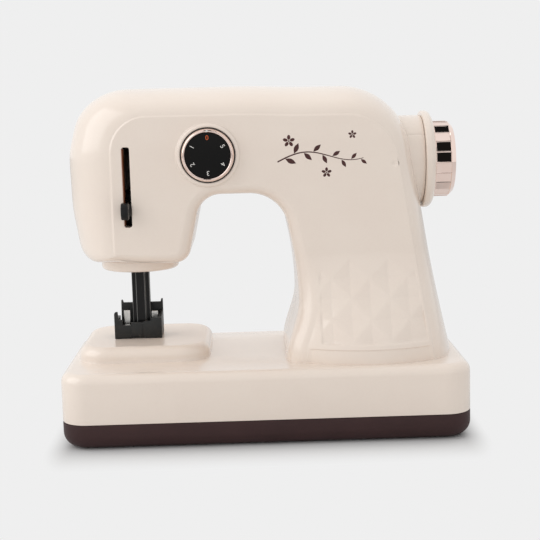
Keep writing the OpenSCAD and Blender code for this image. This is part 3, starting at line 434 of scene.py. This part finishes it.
# How far each point's section is a plain round edge (1) and not a band with a crease (0)
SOFT = [1.0] * (LEVELS + RUN)
for k in range(6):
    if k < 3:
        SOFT += [1.0] * (ARC + 1)
    else:
        SOFT += [SOFT_CORNER * (1 - smooth(i / ARC)) if k == 3 else 0.0 for i in range(ARC + 1)]
    for t in range(1, RUN):
        SOFT.append(mix(1.0, SOFT_CORNER, smooth(2 * t / RUN - 1)) if k == 2 else float(k < 2))
SOFT += [0.0] * (LEVELS + 1)


def face_depth(x, z, flared):
    """Distance of the face from the parting plane."""
    if not flared or z > COL_TOP:
        return HALF_D
    l, r = left_x(z) + edge_left(z), crease_right(z)
    u = (2 * x - l - r) / (r - l)
    return HALF_D + (FLARE + BULGE * (1 - u * u)) * smooth((FLARE_H - z) / (FLARE_H - FLARE_LOW))


def wall_section(i, flared):
    """One section through a cover's wall, from its inner face round the seam to its outer face."""
    e, f, soft = EDGE_LINE[i], FACE_LINE[i], SOFT[i]
    way, inset = (f - e).normalized(), (f - e).length
    full = face_depth(f.x, f.y, flared)
    start = mix(STRAIGHT, full - EDGE_SLOPE * min(inset, EDGE_MOST), soft)
    drop, width = CREASE_STEP * (1 - soft), mix(CREASE_W, CREASE_FINE, soft)

    def arc(s0, s1, d1, share):
        a = BAND_TURN * share
        return Vector((mix(s0, s1, (1 - math.cos(a)) / (1 - math.cos(BAND_TURN))),
                       mix(start, d1, math.sin(a) / math.sin(BAND_TURN))))

    def on_face(s, skin):
        p = e + way * s
        return Vector((s, face_depth(p.x, p.y, flared) - skin))

    inner = [Vector((WALL, 0.0))]
    inner += [arc(WALL, inset, full - WALL, k / INNER_BAND) for k in range(INNER_BAND + 1)]
    inner += [on_face(inset + 1, WALL)]
    outer = [Vector((RIM, 0.0)), Vector((0.0, RIM))]
    outer += [arc(0, inset, full - drop, k / BAND) for k in range(BAND + 1)]
    for share in (k / CREASE_STEPS for k in range(1, CREASE_STEPS + 1)):
        outer.append(on_face(inset + width * share, drop * (1 - smooth(share))))
    outer.append(on_face(inset + width + FACE_LIP, 0))
    return [(e + way * p.x, p.y) for p in inner[::-1] + outer]


def diamond(x, z):
    """Depth of the diamond relief on the column's face: sunk pyramids in a diamond lattice."""
    a, b = (x - LATTICE_X) / CELL_W, (z - LATTICE_Z) / CELL_H
    p, q = (a + b) / 2, (a - b) / 2
    if round(p) - round(q) > 0:
        return 0.0
    rise = max(0.0, 1 - PYRAMID_SLOPE * max(abs(p - round(p)), abs(q - round(q))))
    inside = smooth((x - FIELD_LEFT) / 1.6) * smooth((crease_right(z) - FIELD_GAP - x) / 0.7)
    inside *= smooth((z - FIELD_LOW) / 0.9)
    return inside * (PYRAMID_DEEP * rise + FIELD_DEEP * smooth((FIELD_Z - z) / FIELD_RUN))


def foot_line(x, z):
    """Depth of the small step above the column's foot."""
    ends = smooth((x - left_x(z) - edge_left(z)) / 3) * smooth((crease_right(z) - 1 - x) / 3)
    return STEP_DEEP * ends * smooth((STEP_Z - z) / STEP_W)


def skin_grid(bm, left, right, columns, skin):
    """The column's face between its left and right edges, row by row."""
    rows = []
    for p, q in zip(left, right):
        row = []
        for c in range(columns + 1):
            x = mix(p.x, q.x, c / columns)
            depth = face_depth(x, p.y, True) - skin
            if not skin and 0 < c < columns:
                depth -= diamond(x, p.y) + foot_line(x, p.y)
            row.append((x, BODY_Y - depth, p.y))
        rows.append(row)
    sweep(bm, rows, closed=False)


def on_arm(c):
    return c.z > COL_TOP - 0.01 or c.x < 0


def front_cover():
    """The front half of the body as a closed shell."""
    bm = bmesh.new()
    sections = [wall_section(i, True) for i in range(len(EDGE_LINE))]
    rings = [[(p.x, BODY_Y - d, p.y) for p, d in ring] for ring in zip(*sections)]
    sweep(bm, rings, closed=False)
    for at, columns, skin in ((-1, COLUMNS, 0.0), (0, 12, WALL)):
        left = [s[at][0] for s in sections[:LEVELS + 1]]
        right = [s[at][0] for s in reversed(sections[-LEVELS - 1:])]
        skin_grid(bm, left, right, columns, skin)
    front_holes(bm)
    weld(bm)
    fill_plane(bm, 1, FRONT_Y, (0, -1, 0), on_arm)
    fill_plane(bm, 1, FRONT_Y + WALL, (0, 1, 0), on_arm)
    fill_plane(bm, 2, BASE_H, (0, 0, -1))
    return bm


SLOT_X, SLOT_Z, SLOT_W, SLOT_H, SLOT_R, SLOT_DEEP = -68.5, 131.0, 2.0, 20.5, 1.2, 9.5
SEAT_R = 14.02
COVER_SINKS = ((-52, 160), (-49, 103), (10, 160), (56, 155.5), (32, 58), (76, 58))


def slot_ring(grow, y):
    sides = rectangle(SLOT_W + grow, SLOT_H + grow, SLOT_R + max(grow, 0))
    return [(p.x + SLOT_X, y, p.y + SLOT_Z) for p in sides]


def front_holes(bm):
    """The slot, the dial's seat and a small dimple in the face."""
    slot = [(1.1, 0), (0.55, 0), (0.25, 0.05), (0.06, 0.22), (0, 0.5), (0, SLOT_DEEP), (1.6, SLOT_DEEP)]
    sweep(bm, [slot_ring(grow, FRONT_Y + deep) for grow, deep in slot + [(1.6, WALL)]])
    seat = [(SEAT_R, 0), (SEAT_R, -1.4), (13.9, -1.6), (3.4, -1.6), (3.4, -WALL)]
    lathe(bm, seat, (DIAL.x, FRONT_Y, DIAL.z), (0, -1, 0), 128)
    dimple = [(2.4, 0), (1.9, 0), (1.5, -0.08), (0.9, -0.3), (0, -0.38)]
    lathe(bm, dimple, (68.9, FRONT_Y, SHAFT_Z), (0, -1, 0), 40)


def rear_holes(bm):
    """The sinks of the six cover screws."""
    profile = [(4.4, 0), (3.7, 0), (3.35, -0.1), (3.15, -0.35), (3.1, -0.7), (3.1, -24.9), (1.6, -24.9),
               (1.6, -27.0), (4.6, -27.0), (4.6, -WALL)]
    for x, z in COVER_SINKS:
        lathe(bm, profile, (x, BACK_Y, z), (0, 1, 0), 40)


finish_piece("front_shell", front_cover(), "body", "cream_plastic", ("front_cover",))

# A thin brown sheet on the slot's left inner wall: painted shade standing in for the cream wall in shadow.
bm = bmesh.new()
bmesh.ops.create_cube(bm, size=1.0)
bmesh.ops.scale(bm, vec=(0.3, 7.6, 39.0), verts=bm.verts)
bmesh.ops.translate(bm, vec=(-70.33, -22.3, SLOT_Z), verts=bm.verts)
finish_piece("slot_shade_sheet", bm, "body", "slot_painted_shade")

bm = bmesh.new()
bezel = [(SEAT_R, -0.5), (SEAT_R, 1.2), (14.08, 1.5), (14.25, 1.7), (14.5, 1.8), (14.9, 1.78), (15.4, 1.62),
         (15.85, 1.3), (16.15, 0.85), (16.3, 0.35), (16.45, 0.1), (16.8, 0.0), (16.8, -3.0), (SEAT_R, -0.5)]
lathe(bm, bezel, (DIAL.x, FRONT_Y, DIAL.z), (0, -1, 0), 128)
finish_piece("dial_bezel", bm, "body", "cream_plastic", sharp=50)


def rear_cover():
    """The rear half: its column face is flat, so it is filled in one with the arm's face."""
    bm = bmesh.new()
    sections = [wall_section(i, False) for i in range(len(EDGE_LINE))]
    rings = [[(p.x, BODY_Y + d, p.y) for p, d in ring] for ring in zip(*sections)]
    sweep(bm, rings, closed=False)
    for at in (0, -1):
        first_loop(bm, [rings[at][0], rings[at][-1]], closed=False)
    rear_holes(bm)
    weld(bm)
    fill_plane(bm, 1, BACK_Y, (0, 1, 0))
    fill_plane(bm, 1, BACK_Y - WALL, (0, -1, 0))
    fill_plane(bm, 2, BASE_H, (0, 0, -1))
    return bm


finish_piece("rear_shell", rear_cover(), "body", "cream_plastic", ("rear_cover",))


NECK_R, NECK_BORE, NECK_STEPS, NECK_SEAMS, SEAM_DEEP = 23.7, 21.5, 240, (24, 60, 180), 0.35


def neck_ring(x, r):
    """A circle round the shaft, with three fine seams where it is wider than the bore."""
    points = []
    for k in range(NECK_STEPS):
        a = 2 * math.pi * k / NECK_STEPS
        dent = SEAM_DEEP if k in NECK_SEAMS and r > NECK_BORE + 0.5 else 0.0
        points.append((x, BODY_Y - (r - dent) * math.cos(a), SHAFT_Z + (r - dent) * math.sin(a)))
    return points


bm = bmesh.new()
neck = [(66, NECK_BORE), (66, NECK_R), (86.5, NECK_R), (86.65, 23.6), (86.7, 23.4), (86.7, 21.8),
        (86.5, NECK_BORE), (66, NECK_BORE)]
sweep(bm, [neck_ring(x, r) for x, r in neck])
finish_piece("handwheel_neck", bm, "body", "cream_plastic", sharp=50)

# Base: cream cover with the raised plate, and the brown tray

BASE_X, BASE_Y, BASE_R, COVER_LOW = 105.0, 53.0, 14.0, 13.5
PLATE, PLATE_HALF, PLATE_R, PLATE_TOP = Vector((-64.0, 9.0)), 35.0, 16.0, 47.0
TRAY_TOP, TRAY_LOW, TRAY_FLOOR = 13.4, 0.35, 1.5
DOOR_X, DOOR_W, DOOR_D, DOOR_R, DOOR_TOP = 3.5, 34.5, 17.1, 0.8, 3.8
PAD_R, PAD_H = 6, 1.5


def base_ring(inset, z):
    return [(p.x, p.y, z) for p in rectangle(BASE_X - inset, BASE_Y - inset, BASE_R - inset, 20)]


def plate_ring(inset, z):
    sides = rectangle(PLATE_HALF - inset, PLATE_HALF - inset, PLATE_R - inset, 20)
    return [(p.x + PLATE.x, p.y + PLATE.y, z) for p in sides]


def door_ring(grow, z):
    sides = rectangle(DOOR_W + grow, DOOR_D + grow, DOOR_R + max(grow, 0))
    return [(p.x + DOOR_X, p.y, z) for p in sides]


def quarter(edge, top, steps=10):
    """Insets and heights of a rounded upper edge."""
    turns = [math.pi / 2 * k / steps for k in range(steps + 1)]
    return [(edge * (1 - math.cos(a)), top - edge * (1 - math.sin(a))) for a in turns]


bm = bmesh.new()
rings = [(2.4, COVER_LOW), (0.4, COVER_LOW), (0.1, 13.65), (0.0, 14.0)]
rings += quarter(5.0, BASE_H) + [(5.15, BASE_H)]
sweep(bm, [base_ring(9.0, 36.6), base_ring(2.4, 33.0)] + [base_ring(*r) for r in rings], cap_first=True)
rings = [(-0.6, BASE_H), (-0.2, 39.1), (0.0, 39.5)] + quarter(5.5, PLATE_TOP) + [(5.9, PLATE_TOP)]
sweep(bm, [plate_ring(*r) for r in rings], cap_last=True)
fill_plane(bm, 2, BASE_H, (0, 0, 1))
finish_piece("base_shell", bm, "body", "base_cream", ("base_cover",))

bm = bmesh.new()
rings = [(2.4, 3.9), (2.4, TRAY_TOP), (0.4, TRAY_TOP), (0.1, 13.25), (0.0, 12.9)]
rings += [(inset, 2 * TRAY_LOW - z) for inset, z in quarter(7.5, TRAY_LOW)]
rings += [(8.8, TRAY_LOW), (9.6, 0.55), (10.4, 1.35), (11.0, TRAY_FLOOR)]
sweep(bm, [base_ring(*r) for r in rings], cap_first=True)
rings = [(0.8, TRAY_FLOOR), (0.3, TRAY_FLOOR), (0.0, 1.8), (0.0, DOOR_TOP), (-2.0, DOOR_TOP)]
sweep(bm, [door_ring(*r) for r in rings], cap_last=True)
sink = [(4.2, TRAY_FLOOR), (3.5, TRAY_FLOOR), (3.15, 1.8), (3.1, 8.1), (0, 8.1)]
for x, y in corners(66, 40):
    lathe(bm, sink, (x, y, 0), (0, 0, 1), 40, (1, 0, 0))
fill_plane(bm, 2, TRAY_FLOOR, (0, 0, -1))
finish_piece("tray_shell", bm, "body", "brown_plastic", ("bottom_tray",))

bm = bmesh.new()
profile = rounded([(0, 0), (PAD_R, 0), (PAD_R, PAD_H), (0, PAD_H)], 0.5)
for x, y in corners(87, 35):
    lathe(bm, profile, (x, y, 0), (0, 0, 1), 48, (1, 0, 0))
finish_piece("foot_pads", bm, "body", "foot_rubber", ("rubber_feet",))

# Foot and lever


def slab(bm, points, axis, low, high, soft):
    """A plate of one outline, seen along an axis, with softened edges."""
    spread = {0: lambda a, b: (low, a, b), 1: lambda a, b: (a, low, b)}[axis]
    verts, edges = first_loop(bm, [spread(*p) for p in points])
    face = bmesh.ops.contextual_create(bm, geom=edges)["faces"]
    made = bmesh.ops.extrude_face_region(bm, geom=face)["geom"]
    shift = [0.0, 0.0, 0.0]
    shift[axis] = high - low
    moved = [g for g in made if isinstance(g, bmesh.types.BMVert)]
    bmesh.ops.translate(bm, vec=shift, verts=moved)
    faces = list({f for v in verts + moved for f in v.link_faces})
    bmesh.ops.recalc_face_normals(bm, faces=faces)
    soften(bm, list({e for f in faces for e in f.edges}), soft)


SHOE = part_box("presser_foot")
x0, x1 = SHOE[0][0] / MM - 1.0, SHOE[1][0] / MM
y0, y1, z0 = SHOE[0][1] / MM, SHOE[1][1] / MM, SHOE[0][2] / MM
bm = bmesh.new()
front_plate = [
    (x0, z0), (x0 + 8.8, z0), (x0 + 9.4, z0 + 0.9), (x0 + 15.6, z0 + 0.9), (x0 + 16.2, z0), (x1, z0),
    (x1, z0 + 11.2), (x1 - 6.0, z0 + 11.2), (x1 - 6.0, z0 + 9.4), (x1 - 9.6, z0 + 9.4), (x1 - 9.6, z0 + 8.8),
    (x0 + 9.0, z0 + 8.8), (x0 + 9.0, z0 + 7.2), (x0 + 4.5, z0 + 7.2), (x0 + 4.5, z0 + 10.3),
    (x0 + 2.1, z0 + 10.3), (x0 + 1.9, z0 + 14.7), (x0 + 0.6, z0 + 14.7), (x0, z0 + 13.9)]
back_plate = [
    (x0 + 2.4, z0), (x1, z0), (x1, z0 + 19.2), (x1 - 0.9, z0 + 19.2), (x1 - 1.2, z0 + 17.5),
    (x0 + 3.9, z0 + 17.5), (x0 + 3.5, z0 + 19.0), (x0 + 2.7, z0 + 19.0)]
left_cheek = [
    (y0 + 0.5, z0 + 0.3), (y1 - 0.5, z0 + 0.3), (y1 - 0.5, z0 + 10.3), (y0 + 0.5, z0 + 10.3)]
right_cheek = [
    (y0 + 0.5, z0 + 0.3), (y1 - 0.5, z0 + 0.3), (y1 - 0.5, z0 + 13.6), (y0 + 4.5, z0 + 11.1),
    (y0 + 0.5, z0 + 11.1)]
floor_block = [
    (x0 + 1.0, z0 + 0.2), (x1 - 1.0, z0 + 0.2), (x1 - 1.0, z0 + 5.0), (x0 + 1.0, z0 + 5.0)]
front_pad = [
    (x0 + 9.2, z0 + 1.2), (x0 + 15.4, z0 + 1.2), (x0 + 15.0, z0 + 7.6), (x0 + 9.6, z0 + 7.6)]
slab(bm, front_plate, 1, y0, y0 + 2.0, 0.3)
slab(bm, back_plate, 1, y1 - 2.0, y1, 0.3)
slab(bm, left_cheek, 0, x0 + 0.1, x0 + 2.0, 0.3)
slab(bm, right_cheek, 0, x1 - 2.0, x1 - 0.1, 0.3)
slab(bm, floor_block, 1, y0 + 1.0, y1 - 1.0, 0.2)
slab(bm, front_pad, 1, y0 - 0.25, y0 + 1.0, 0.2)
finish_piece("foot_block", bm, "needle", "foot_black", ("presser_foot",), sharp=25)

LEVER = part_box("take_up_lever")
x0, x1 = LEVER[0][0] / MM, LEVER[1][0] / MM
y0, y1, z0, z1 = LEVER[0][1] / MM, LEVER[1][1] / MM, LEVER[0][2] / MM, LEVER[1][2] / MM
bm = bmesh.new()
arm = [(y0 + 6.0, z0 + 1.2), (y1, z0 + 1.2), (y1, z1 - 1.2), (y0 + 6.0, z1 - 1.2)]
tip = [
    (y0 + 0.2, z0 + 2.2), (y0 + 2.0, z0), (y0 + 7.4, z0), (y0 + 7.4, z1), (y0 + 2.6, z1),
    (y0 + 0.8, z1 - 1.6)]
ridge = [(y0, z0 + 3.0), (y0 + 1.5, z0 + 1.6), (y0 + 2.5, z1 - 2.2), (y0 + 0.4, z1 - 3.0)]
slab(bm, arm, 0, x0 + 0.1, x1 - 0.1, 0.3)
slab(bm, tip, 0, x0 - 1.2, x1 - 0.5, 0.7)
slab(bm, ridge, 0, x0 - 0.2, x1 - 1.5, 0.3)
finish_piece("lever_tip", bm, "needle", "black_plastic", ("take_up_lever",), sharp=25)

# Collar, handwheel and dial

COLLAR_X, BAR_X, COLLAR_LOW, COLLAR_TOP = -66.2, -66.5, 84.8, 90.9
bm = bmesh.new()
outer = [(18.6, COLLAR_LOW), (19.6, 85.0), (20.4, 85.6), (20.8, 86.4), (20.9, 87.2), (20.9, 90.1),
         (20.6, 90.55), (19.9, COLLAR_TOP)]
lathe(bm, outer, (COLLAR_X, BODY_Y, 0.0), (0, 0, 1), 128, (1, 0, 0))
bored = [(7.8, COLLAR_LOW), (7.55, 84.9), (7.5, 85.2), (7.5, 90.6), (7.7, COLLAR_TOP)]
lathe(bm, bored, (BAR_X, BODY_Y, 0.0), (0, 0, 1), 64, (1, 0, 0))
fill_plane(bm, 2, COLLAR_LOW, (0, 0, -1))
fill_plane(bm, 2, COLLAR_TOP, (0, 0, 1))
finish_piece("bar_collar", bm, "body", "cream_plastic", ("needle_collar",))

HUB = (0.0, BODY_Y, SHAFT_Z)
bm = bmesh.new()
profile = rounded([(0, 86.9), (26, 86.9), (26, 89.2)], 1.6, 6)
turns = [math.pi / 24 * k for k in range(1, 13)]
profile += [(20.5 + 5.5 * math.cos(a), 89.2 + 3.5 * math.sin(a)) for a in turns] + [(0, 92.7)]
lathe(bm, profile, HUB, (1, 0, 0), 160)
finish_piece("wheel_flange", bm, "handwheel", "cream_plastic", ("handwheel_flange",))


KNOB_FLATS, KNOB_TURN, FRAME_W, FRAME_DEEP = 22, math.radians(5), 0.5, 0.3


def knob_ring(x, r):
    turns = [2 * math.pi * (k + 0.5) / KNOB_FLATS - KNOB_TURN for k in range(KNOB_FLATS)]
    return [(x, BODY_Y + r * math.cos(a), SHAFT_Z + r * math.sin(a)) for a in turns]


bm = bmesh.new()
knob = [(92.8, 20.3), (101.2, 20.3), (103.6, 17.9), (103.6, 15.6), (102.9, 15.0)]
sweep(bm, [knob_ring(x, r) for x, r in knob], cap_first=True, cap_last=True)
bmesh.ops.recalc_face_normals(bm, faces=bm.faces)
flats = [f for f in bm.faces if abs(f.normal.x) < 0.01]
bmesh.ops.inset_individual(bm, faces=flats, thickness=FRAME_W, depth=-FRAME_DEEP)
edges = [e for e in bm.edges if len(e.link_faces) == 2 and e.calc_face_angle(0) > 0.15]
soften(bm, edges, 0.1)
finish_piece("wheel_knob", bm, "handwheel", "rose_chrome", ("handwheel_knob",), sharp=9)

bm = bmesh.new()
ring = [(11.65, 29.35), (11.65, 31.2), (11.7, 31.6), (11.85, 31.95), (12.1, 32.15), (12.4, 32.2),
        (12.7, 32.05), (12.95, 31.7), (13.15, 31.2), (13.32, 30.6), (13.45, 30.1), (13.55, 29.7),
        (13.55, 29.35), (11.65, 29.35)]
lathe(bm, ring, (DIAL.x, 0, DIAL.z), (0, -1, 0), 160)
finish_piece("selector_ring", bm, "dial", "rose_chrome", ("dial_ring",), sharp=40)

FACE_R, FACE_LOW, FACE_HIGH = 11.6, 29.3, 31.0
bm = bmesh.new()
profile = rounded([(0, FACE_HIGH), (FACE_R, FACE_HIGH), (FACE_R, FACE_LOW), (0, FACE_LOW)], 0.25)
lathe(bm, profile, (DIAL.x, 0, DIAL.z), (0, -1, 0), 128)
finish_piece("selector_face", bm, "dial", "dial_plastic", ("dial_face",))


FIGURES, FIGURE_SIZE, FIGURE_R, PRINT = 6, 3.4, 8.9, 0.015


def numeral(text, size, degrees, radius, look):
    """A printed figure on the dial, turned round its middle."""
    curve = bpy.data.curves.new("figure_" + text, "FONT")
    curve.body, curve.size, curve.extrude = text, size, PRINT
    curve.align_x, curve.align_y = "CENTER", "CENTER"
    maker = bpy.data.objects.new("figure_maker", curve)
    bpy.context.scene.collection.objects.link(maker)
    flat = bpy.data.meshes.new_from_object(maker.evaluated_get(bpy.context.evaluated_depsgraph_get()))
    made = bmesh.new()
    made.from_mesh(flat)
    bpy.data.objects.remove(maker)
    bpy.data.curves.remove(curve)
    bpy.data.meshes.remove(flat)
    spot = Matrix.Translation((DIAL.x, -FACE_HIGH - PRINT, DIAL.z))
    spot @= Matrix.Rotation(math.radians(degrees), 4, "Y")
    made.transform(spot @ Matrix.Translation((0, 0, radius)) @ Matrix.Rotation(math.pi / 2, 4, "X"))
    finish_piece("figure_" + text, made, "dial", look)


for k in range(FIGURES):
    numeral(str(k), FIGURE_SIZE, -360 / FIGURES * k, FIGURE_R, "white_print" if k else "orange_print")

bm = bmesh.new()
bmesh.ops.create_cone(bm, cap_ends=True, segments=3, radius1=0.9, radius2=0.9, depth=0.1)
upright = Matrix.Rotation(math.pi / 2, 3, "X") @ Matrix.Rotation(-math.pi / 2, 3, "Z")
bmesh.ops.rotate(bm, matrix=upright, verts=bm.verts)
bmesh.ops.translate(bm, vec=(DIAL.x, -32.2, DIAL.z + 12.4), verts=bm.verts)
finish_piece("dial_pip", bm, "dial", "white_print")

# Printed sprig on the arm


def oval(bm, long, wide, turn, x, z, pinch=0.0):
    """A printed oval in the XY plane; pinch draws its ends out to points."""
    made = bmesh.ops.create_circle(bm, cap_ends=True, segments=28, radius=1.0)["verts"]
    for v in made:
        v.co.y *= 1 - pinch * v.co.x ** 2
    bmesh.ops.scale(bm, vec=(long, wide, 1), verts=made)
    bmesh.ops.rotate(bm, matrix=Matrix.Rotation(turn, 3, "Z"), verts=made)
    bmesh.ops.translate(bm, vec=(x, z, 0), verts=made)


def stem(t):
    return Vector((mix(9.0, 53.0, t), 142.0 + 3.4 * math.sin(5.2 * t) + 4.0 * t))


STEM_STEPS, LEAVES, PETALS, INK = 60, 9, 5, 0.04
FLOWERS = ((15.0, 152.5, 1.25), (34.0, 136.0, 1.05), (47.5, 155.0, 0.85))

bm = bmesh.new()
rows = []
for k in range(STEM_STEPS + 1):
    t = k / STEM_STEPS
    along = (stem(t + 0.01) - stem(t - 0.01)).normalized()
    half = Vector((-along.y, along.x)) * mix(0.36, 0.16, t)
    rows.append([(*(stem(t) - half), 0.0), (*(stem(t) + half), 0.0)])
sweep(bm, rows, closed=False)
for k in range(LEAVES):
    t = 0.08 + 0.11 * k
    side = 1 if k % 2 else -1
    along = stem(t + 0.01) - stem(t - 0.01)
    turn = math.atan2(along.y, along.x) + side * 0.85
    way = Vector((math.cos(turn), math.sin(turn)))
    leaf = mix(3.1, 1.9, t)
    at = stem(t) + way * (leaf + 0.5)
    oval(bm, leaf, leaf * 0.42, turn, at.x, at.y, 0.85)
for x, z, r in FLOWERS:
    for k in range(PETALS):
        turn = math.radians(360 / PETALS * k + 18)
        oval(bm, r, r * 0.66, turn, x + 1.5 * r * math.cos(turn), z + 1.5 * r * math.sin(turn))
    oval(bm, 0.35 * r, 0.35 * r, 0.0, x, z)
bmesh.ops.rotate(bm, matrix=Matrix.Rotation(math.pi / 2, 3, "X"), verts=bm.verts)
bmesh.ops.translate(bm, vec=(0, FRONT_Y, 0), verts=bm.verts)
raised = bmesh.ops.extrude_face_region(bm, geom=bm.faces[:])["geom"]
bmesh.ops.translate(bm, vec=(0, -INK, 0), verts=[g for g in raised if isinstance(g, bmesh.types.BMVert)])
finish_piece("printed_sprig", bm, "body", "maroon_print")

# Nodes that keep their CAD shape

for part in frame["record"]["subparts"]:
    node = frame["nodes"][part["node"]]
    node.data.materials.clear()
    node.data.materials.append(LOOKS[part["material_slot"]])
SOFTENED = {"needle_bar": 0.32 * MM, "foot_clips": 0.28 * MM, "battery_door": 0.28 * MM}
for name, width in SOFTENED.items():
    node = frame["nodes"][name]
    joined = node.modifiers.new("join", "WELD")
    joined.merge_threshold = 0.01 * MM
    flat = node.modifiers.new("flatten", "DECIMATE")
    flat.decimate_type = "DISSOLVE"
    flat.angle_limit = math.radians(1)
    soft = node.modifiers.new("soften", "BEVEL")
    soft.width, soft.segments = width, 2
    soft.limit_method, soft.angle_limit = "ANGLE", math.radians(30)
    if name == "needle_bar":
        # The needle bar's bevel faces take the lighter grey: a painted highlight along its edges.
        node.data.materials.append(LOOKS["painted_edge_highlight"])
        soft.material = 1

# Stage: floor, light and camera, with places and sizes in metres

BACKGROUND = rgb(239, 239, 239)
# The camera sees the lit floor in the darker of these two tones: painted shade round the base, on top of the
# real shadow there.
FLOOR_LIGHT, FLOOR_SEEN_PAINTED_SHADE = (0.76, 0.76, 0.76, 1), (0.66, 0.66, 0.66, 1)
SHADOW_X, SHADOW_Y, SHADOW_REACH = 0.099, 0.045, 0.022
STUDIO_COLOUR, STUDIO_LEVEL, STUDIO_GLOSS = (1.0, 0.99, 0.98, 1), 0.725, 0.18
CARD_COLOUR = (0.01, 0.01, 0.01, 1)


def stage_object(name, data, matrix):
    obj = bpy.data.objects.new(name, data)
    obj.matrix_world = matrix
    bpy.context.scene.collection.objects.link(obj)
    return obj


def plane(name, size, look, matrix):
    made = bmesh.new()
    bmesh.ops.create_grid(made, x_segments=1, y_segments=1, size=size)
    mesh = bpy.data.meshes.new(name)
    made.to_mesh(mesh)
    made.free()
    mesh.materials.append(look)
    return stage_object(name, mesh, matrix)


def floor_material():
    """A lit floor under the machine, which fades to the plain background round it; to the camera the lit floor
    is darker than to bounce light, a painted shade over its real shadow.
    """
    mat, look = new_material("floor")
    path = look.node("ShaderNodeLightPath", out="Is Camera Ray")
    # The zone round the base where the darker lit floor shows, drawn out in front and cut short at the sides:
    # the spread of the painted shade.
    away = (look.along(0).op("ABSOLUTE") - SHADOW_X).op("MAXIMUM", 0.0) * 1.4
    aside = (look.along(1).op("ABSOLUTE") - SHADOW_Y).op("MAXIMUM", 0.0) * 0.5
    far = (away * away + aside * aside).op("SQRT")
    plain = look.node("ShaderNodeEmission", None, {"Color": BACKGROUND})
    # The darker tone for camera rays is painted shade; bounce light sees the lighter one.
    tone = look.blend(path, FLOOR_LIGHT, FLOOR_SEEN_PAINTED_SHADE)
    lit = look.node("ShaderNodeBsdfDiffuse", None, {"Color": tone})
    both = look.node("ShaderNodeMixShader", None, {0: path * far.step(0.0, SHADOW_REACH), 1: lit, 2: plain})
    look.node("ShaderNodeOutputMaterial", None, {"Surface": both})
    return mat


plane("floor", 4.0, floor_material(), Matrix.Identity(4))

world = bpy.data.worlds.new("studio")
bpy.context.scene.world = world
world.use_nodes = True
look = Look(world.node_tree)
seen = look.node("ShaderNodeLightPath", out="Is Camera Ray")
shine = look.node("ShaderNodeLightPath", out="Is Glossy Ray")
plain = look.node("ShaderNodeBackground", None, {"Color": BACKGROUND})
level = STUDIO_LEVEL + shine * STUDIO_GLOSS
around = look.node("ShaderNodeBackground", None, {"Color": STUDIO_COLOUR, "Strength": level})
both = look.node("ShaderNodeMixShader", None, {0: seen, 1: around, 2: plain})
look.node("ShaderNodeOutputWorld", None, {"Surface": both})


def card_material():
    """Dark to mirror-bright plating, and clear to the rest."""
    mat, look = new_material("dark_card")
    mirrored = look.node("ShaderNodeLightPath", out="Is Singular Ray")
    shade = look.node("ShaderNodeEmission", None, {"Color": CARD_COLOUR})
    clear = look.node("ShaderNodeBsdfTransparent")
    both = look.node("ShaderNodeMixShader", None, {0: mirrored, 1: clear, 2: shade})
    look.node("ShaderNodeOutputMaterial", None, {"Surface": both})
    return mat


CARD = card_material()


def dark_card(name, place, size, tilt=math.pi / 2):
    """A card that only the bright plating reflects."""
    facing = Matrix.Translation(place) @ Matrix.Rotation(tilt, 4, "X") @ Matrix.Diagonal((*size, 1, 1))
    card = plane(name, 1.0, CARD, facing)
    card.visible_camera = card.visible_diffuse = card.visible_shadow = card.visible_transmission = False


dark_card("dark_card_front", (0.35, -1.3, 0.475), (0.15, 0.845))
dark_card("dark_card_over", (0.37, 0.42, 1.45), (0.13, 0.36), 0.0)
dark_card("dark_card_dial", (-0.02, -1.2, 1.05), (0.2, 0.53))
dark_card("dark_card_dial_over", (-0.02, -0.3, 1.3), (0.2, 0.5), 0.0)


def softbox(name, place, aim, size, power):
    light = bpy.data.lights.new(name, "AREA")
    light.shape, light.size, light.size_y, light.energy = "RECTANGLE", size[0], size[1], power
    turn = (Vector(aim) - Vector(place)).to_track_quat("-Z", "Y").to_matrix().to_4x4()
    return stage_object(name, light, Matrix.Translation(place) @ turn)


softbox("key", (-1.0, -0.25, 0.72), (0, 0, 0.1), (1.15, 1.1), 4.8)
softbox("top", (0.1, 0.45, 1.15), (0, 0, 0.1), (1.2, 0.8), 3.0).visible_glossy = False
softbox("fill", (-0.15, -1.1, 0.4), (0, 0, 0.09), (0.7, 0.6), 0.55).visible_glossy = False

YAW, RISE, ROLL = -0.922, 8.434, -1.555
REACH, AIM = 0.64854, Vector((0.0041, 0.0, 0.08236))
yaw, rise, roll = (math.radians(a) for a in (YAW, RISE, ROLL))
back = Vector((math.sin(yaw) * math.cos(rise), -math.cos(yaw) * math.cos(rise), math.sin(rise)))
right = Vector((math.cos(yaw), math.sin(yaw), 0.0))
up = back.cross(right)
right, up = right * math.cos(roll) + up * math.sin(roll), up * math.cos(roll) - right * math.sin(roll)
lens = bpy.data.cameras.new("camera")
lens.lens, lens.sensor_width, lens.clip_start, lens.clip_end = 80.0, 36.0, 0.05, 20.0
place = AIM + back * REACH
turn = Matrix((right, up, back)).transposed().to_4x4()
camera = stage_object("camera", lens, Matrix.Translation(place) @ turn)
bpy.context.scene.camera = camera
bpy.context.scene.view_settings.view_transform = "Standard"
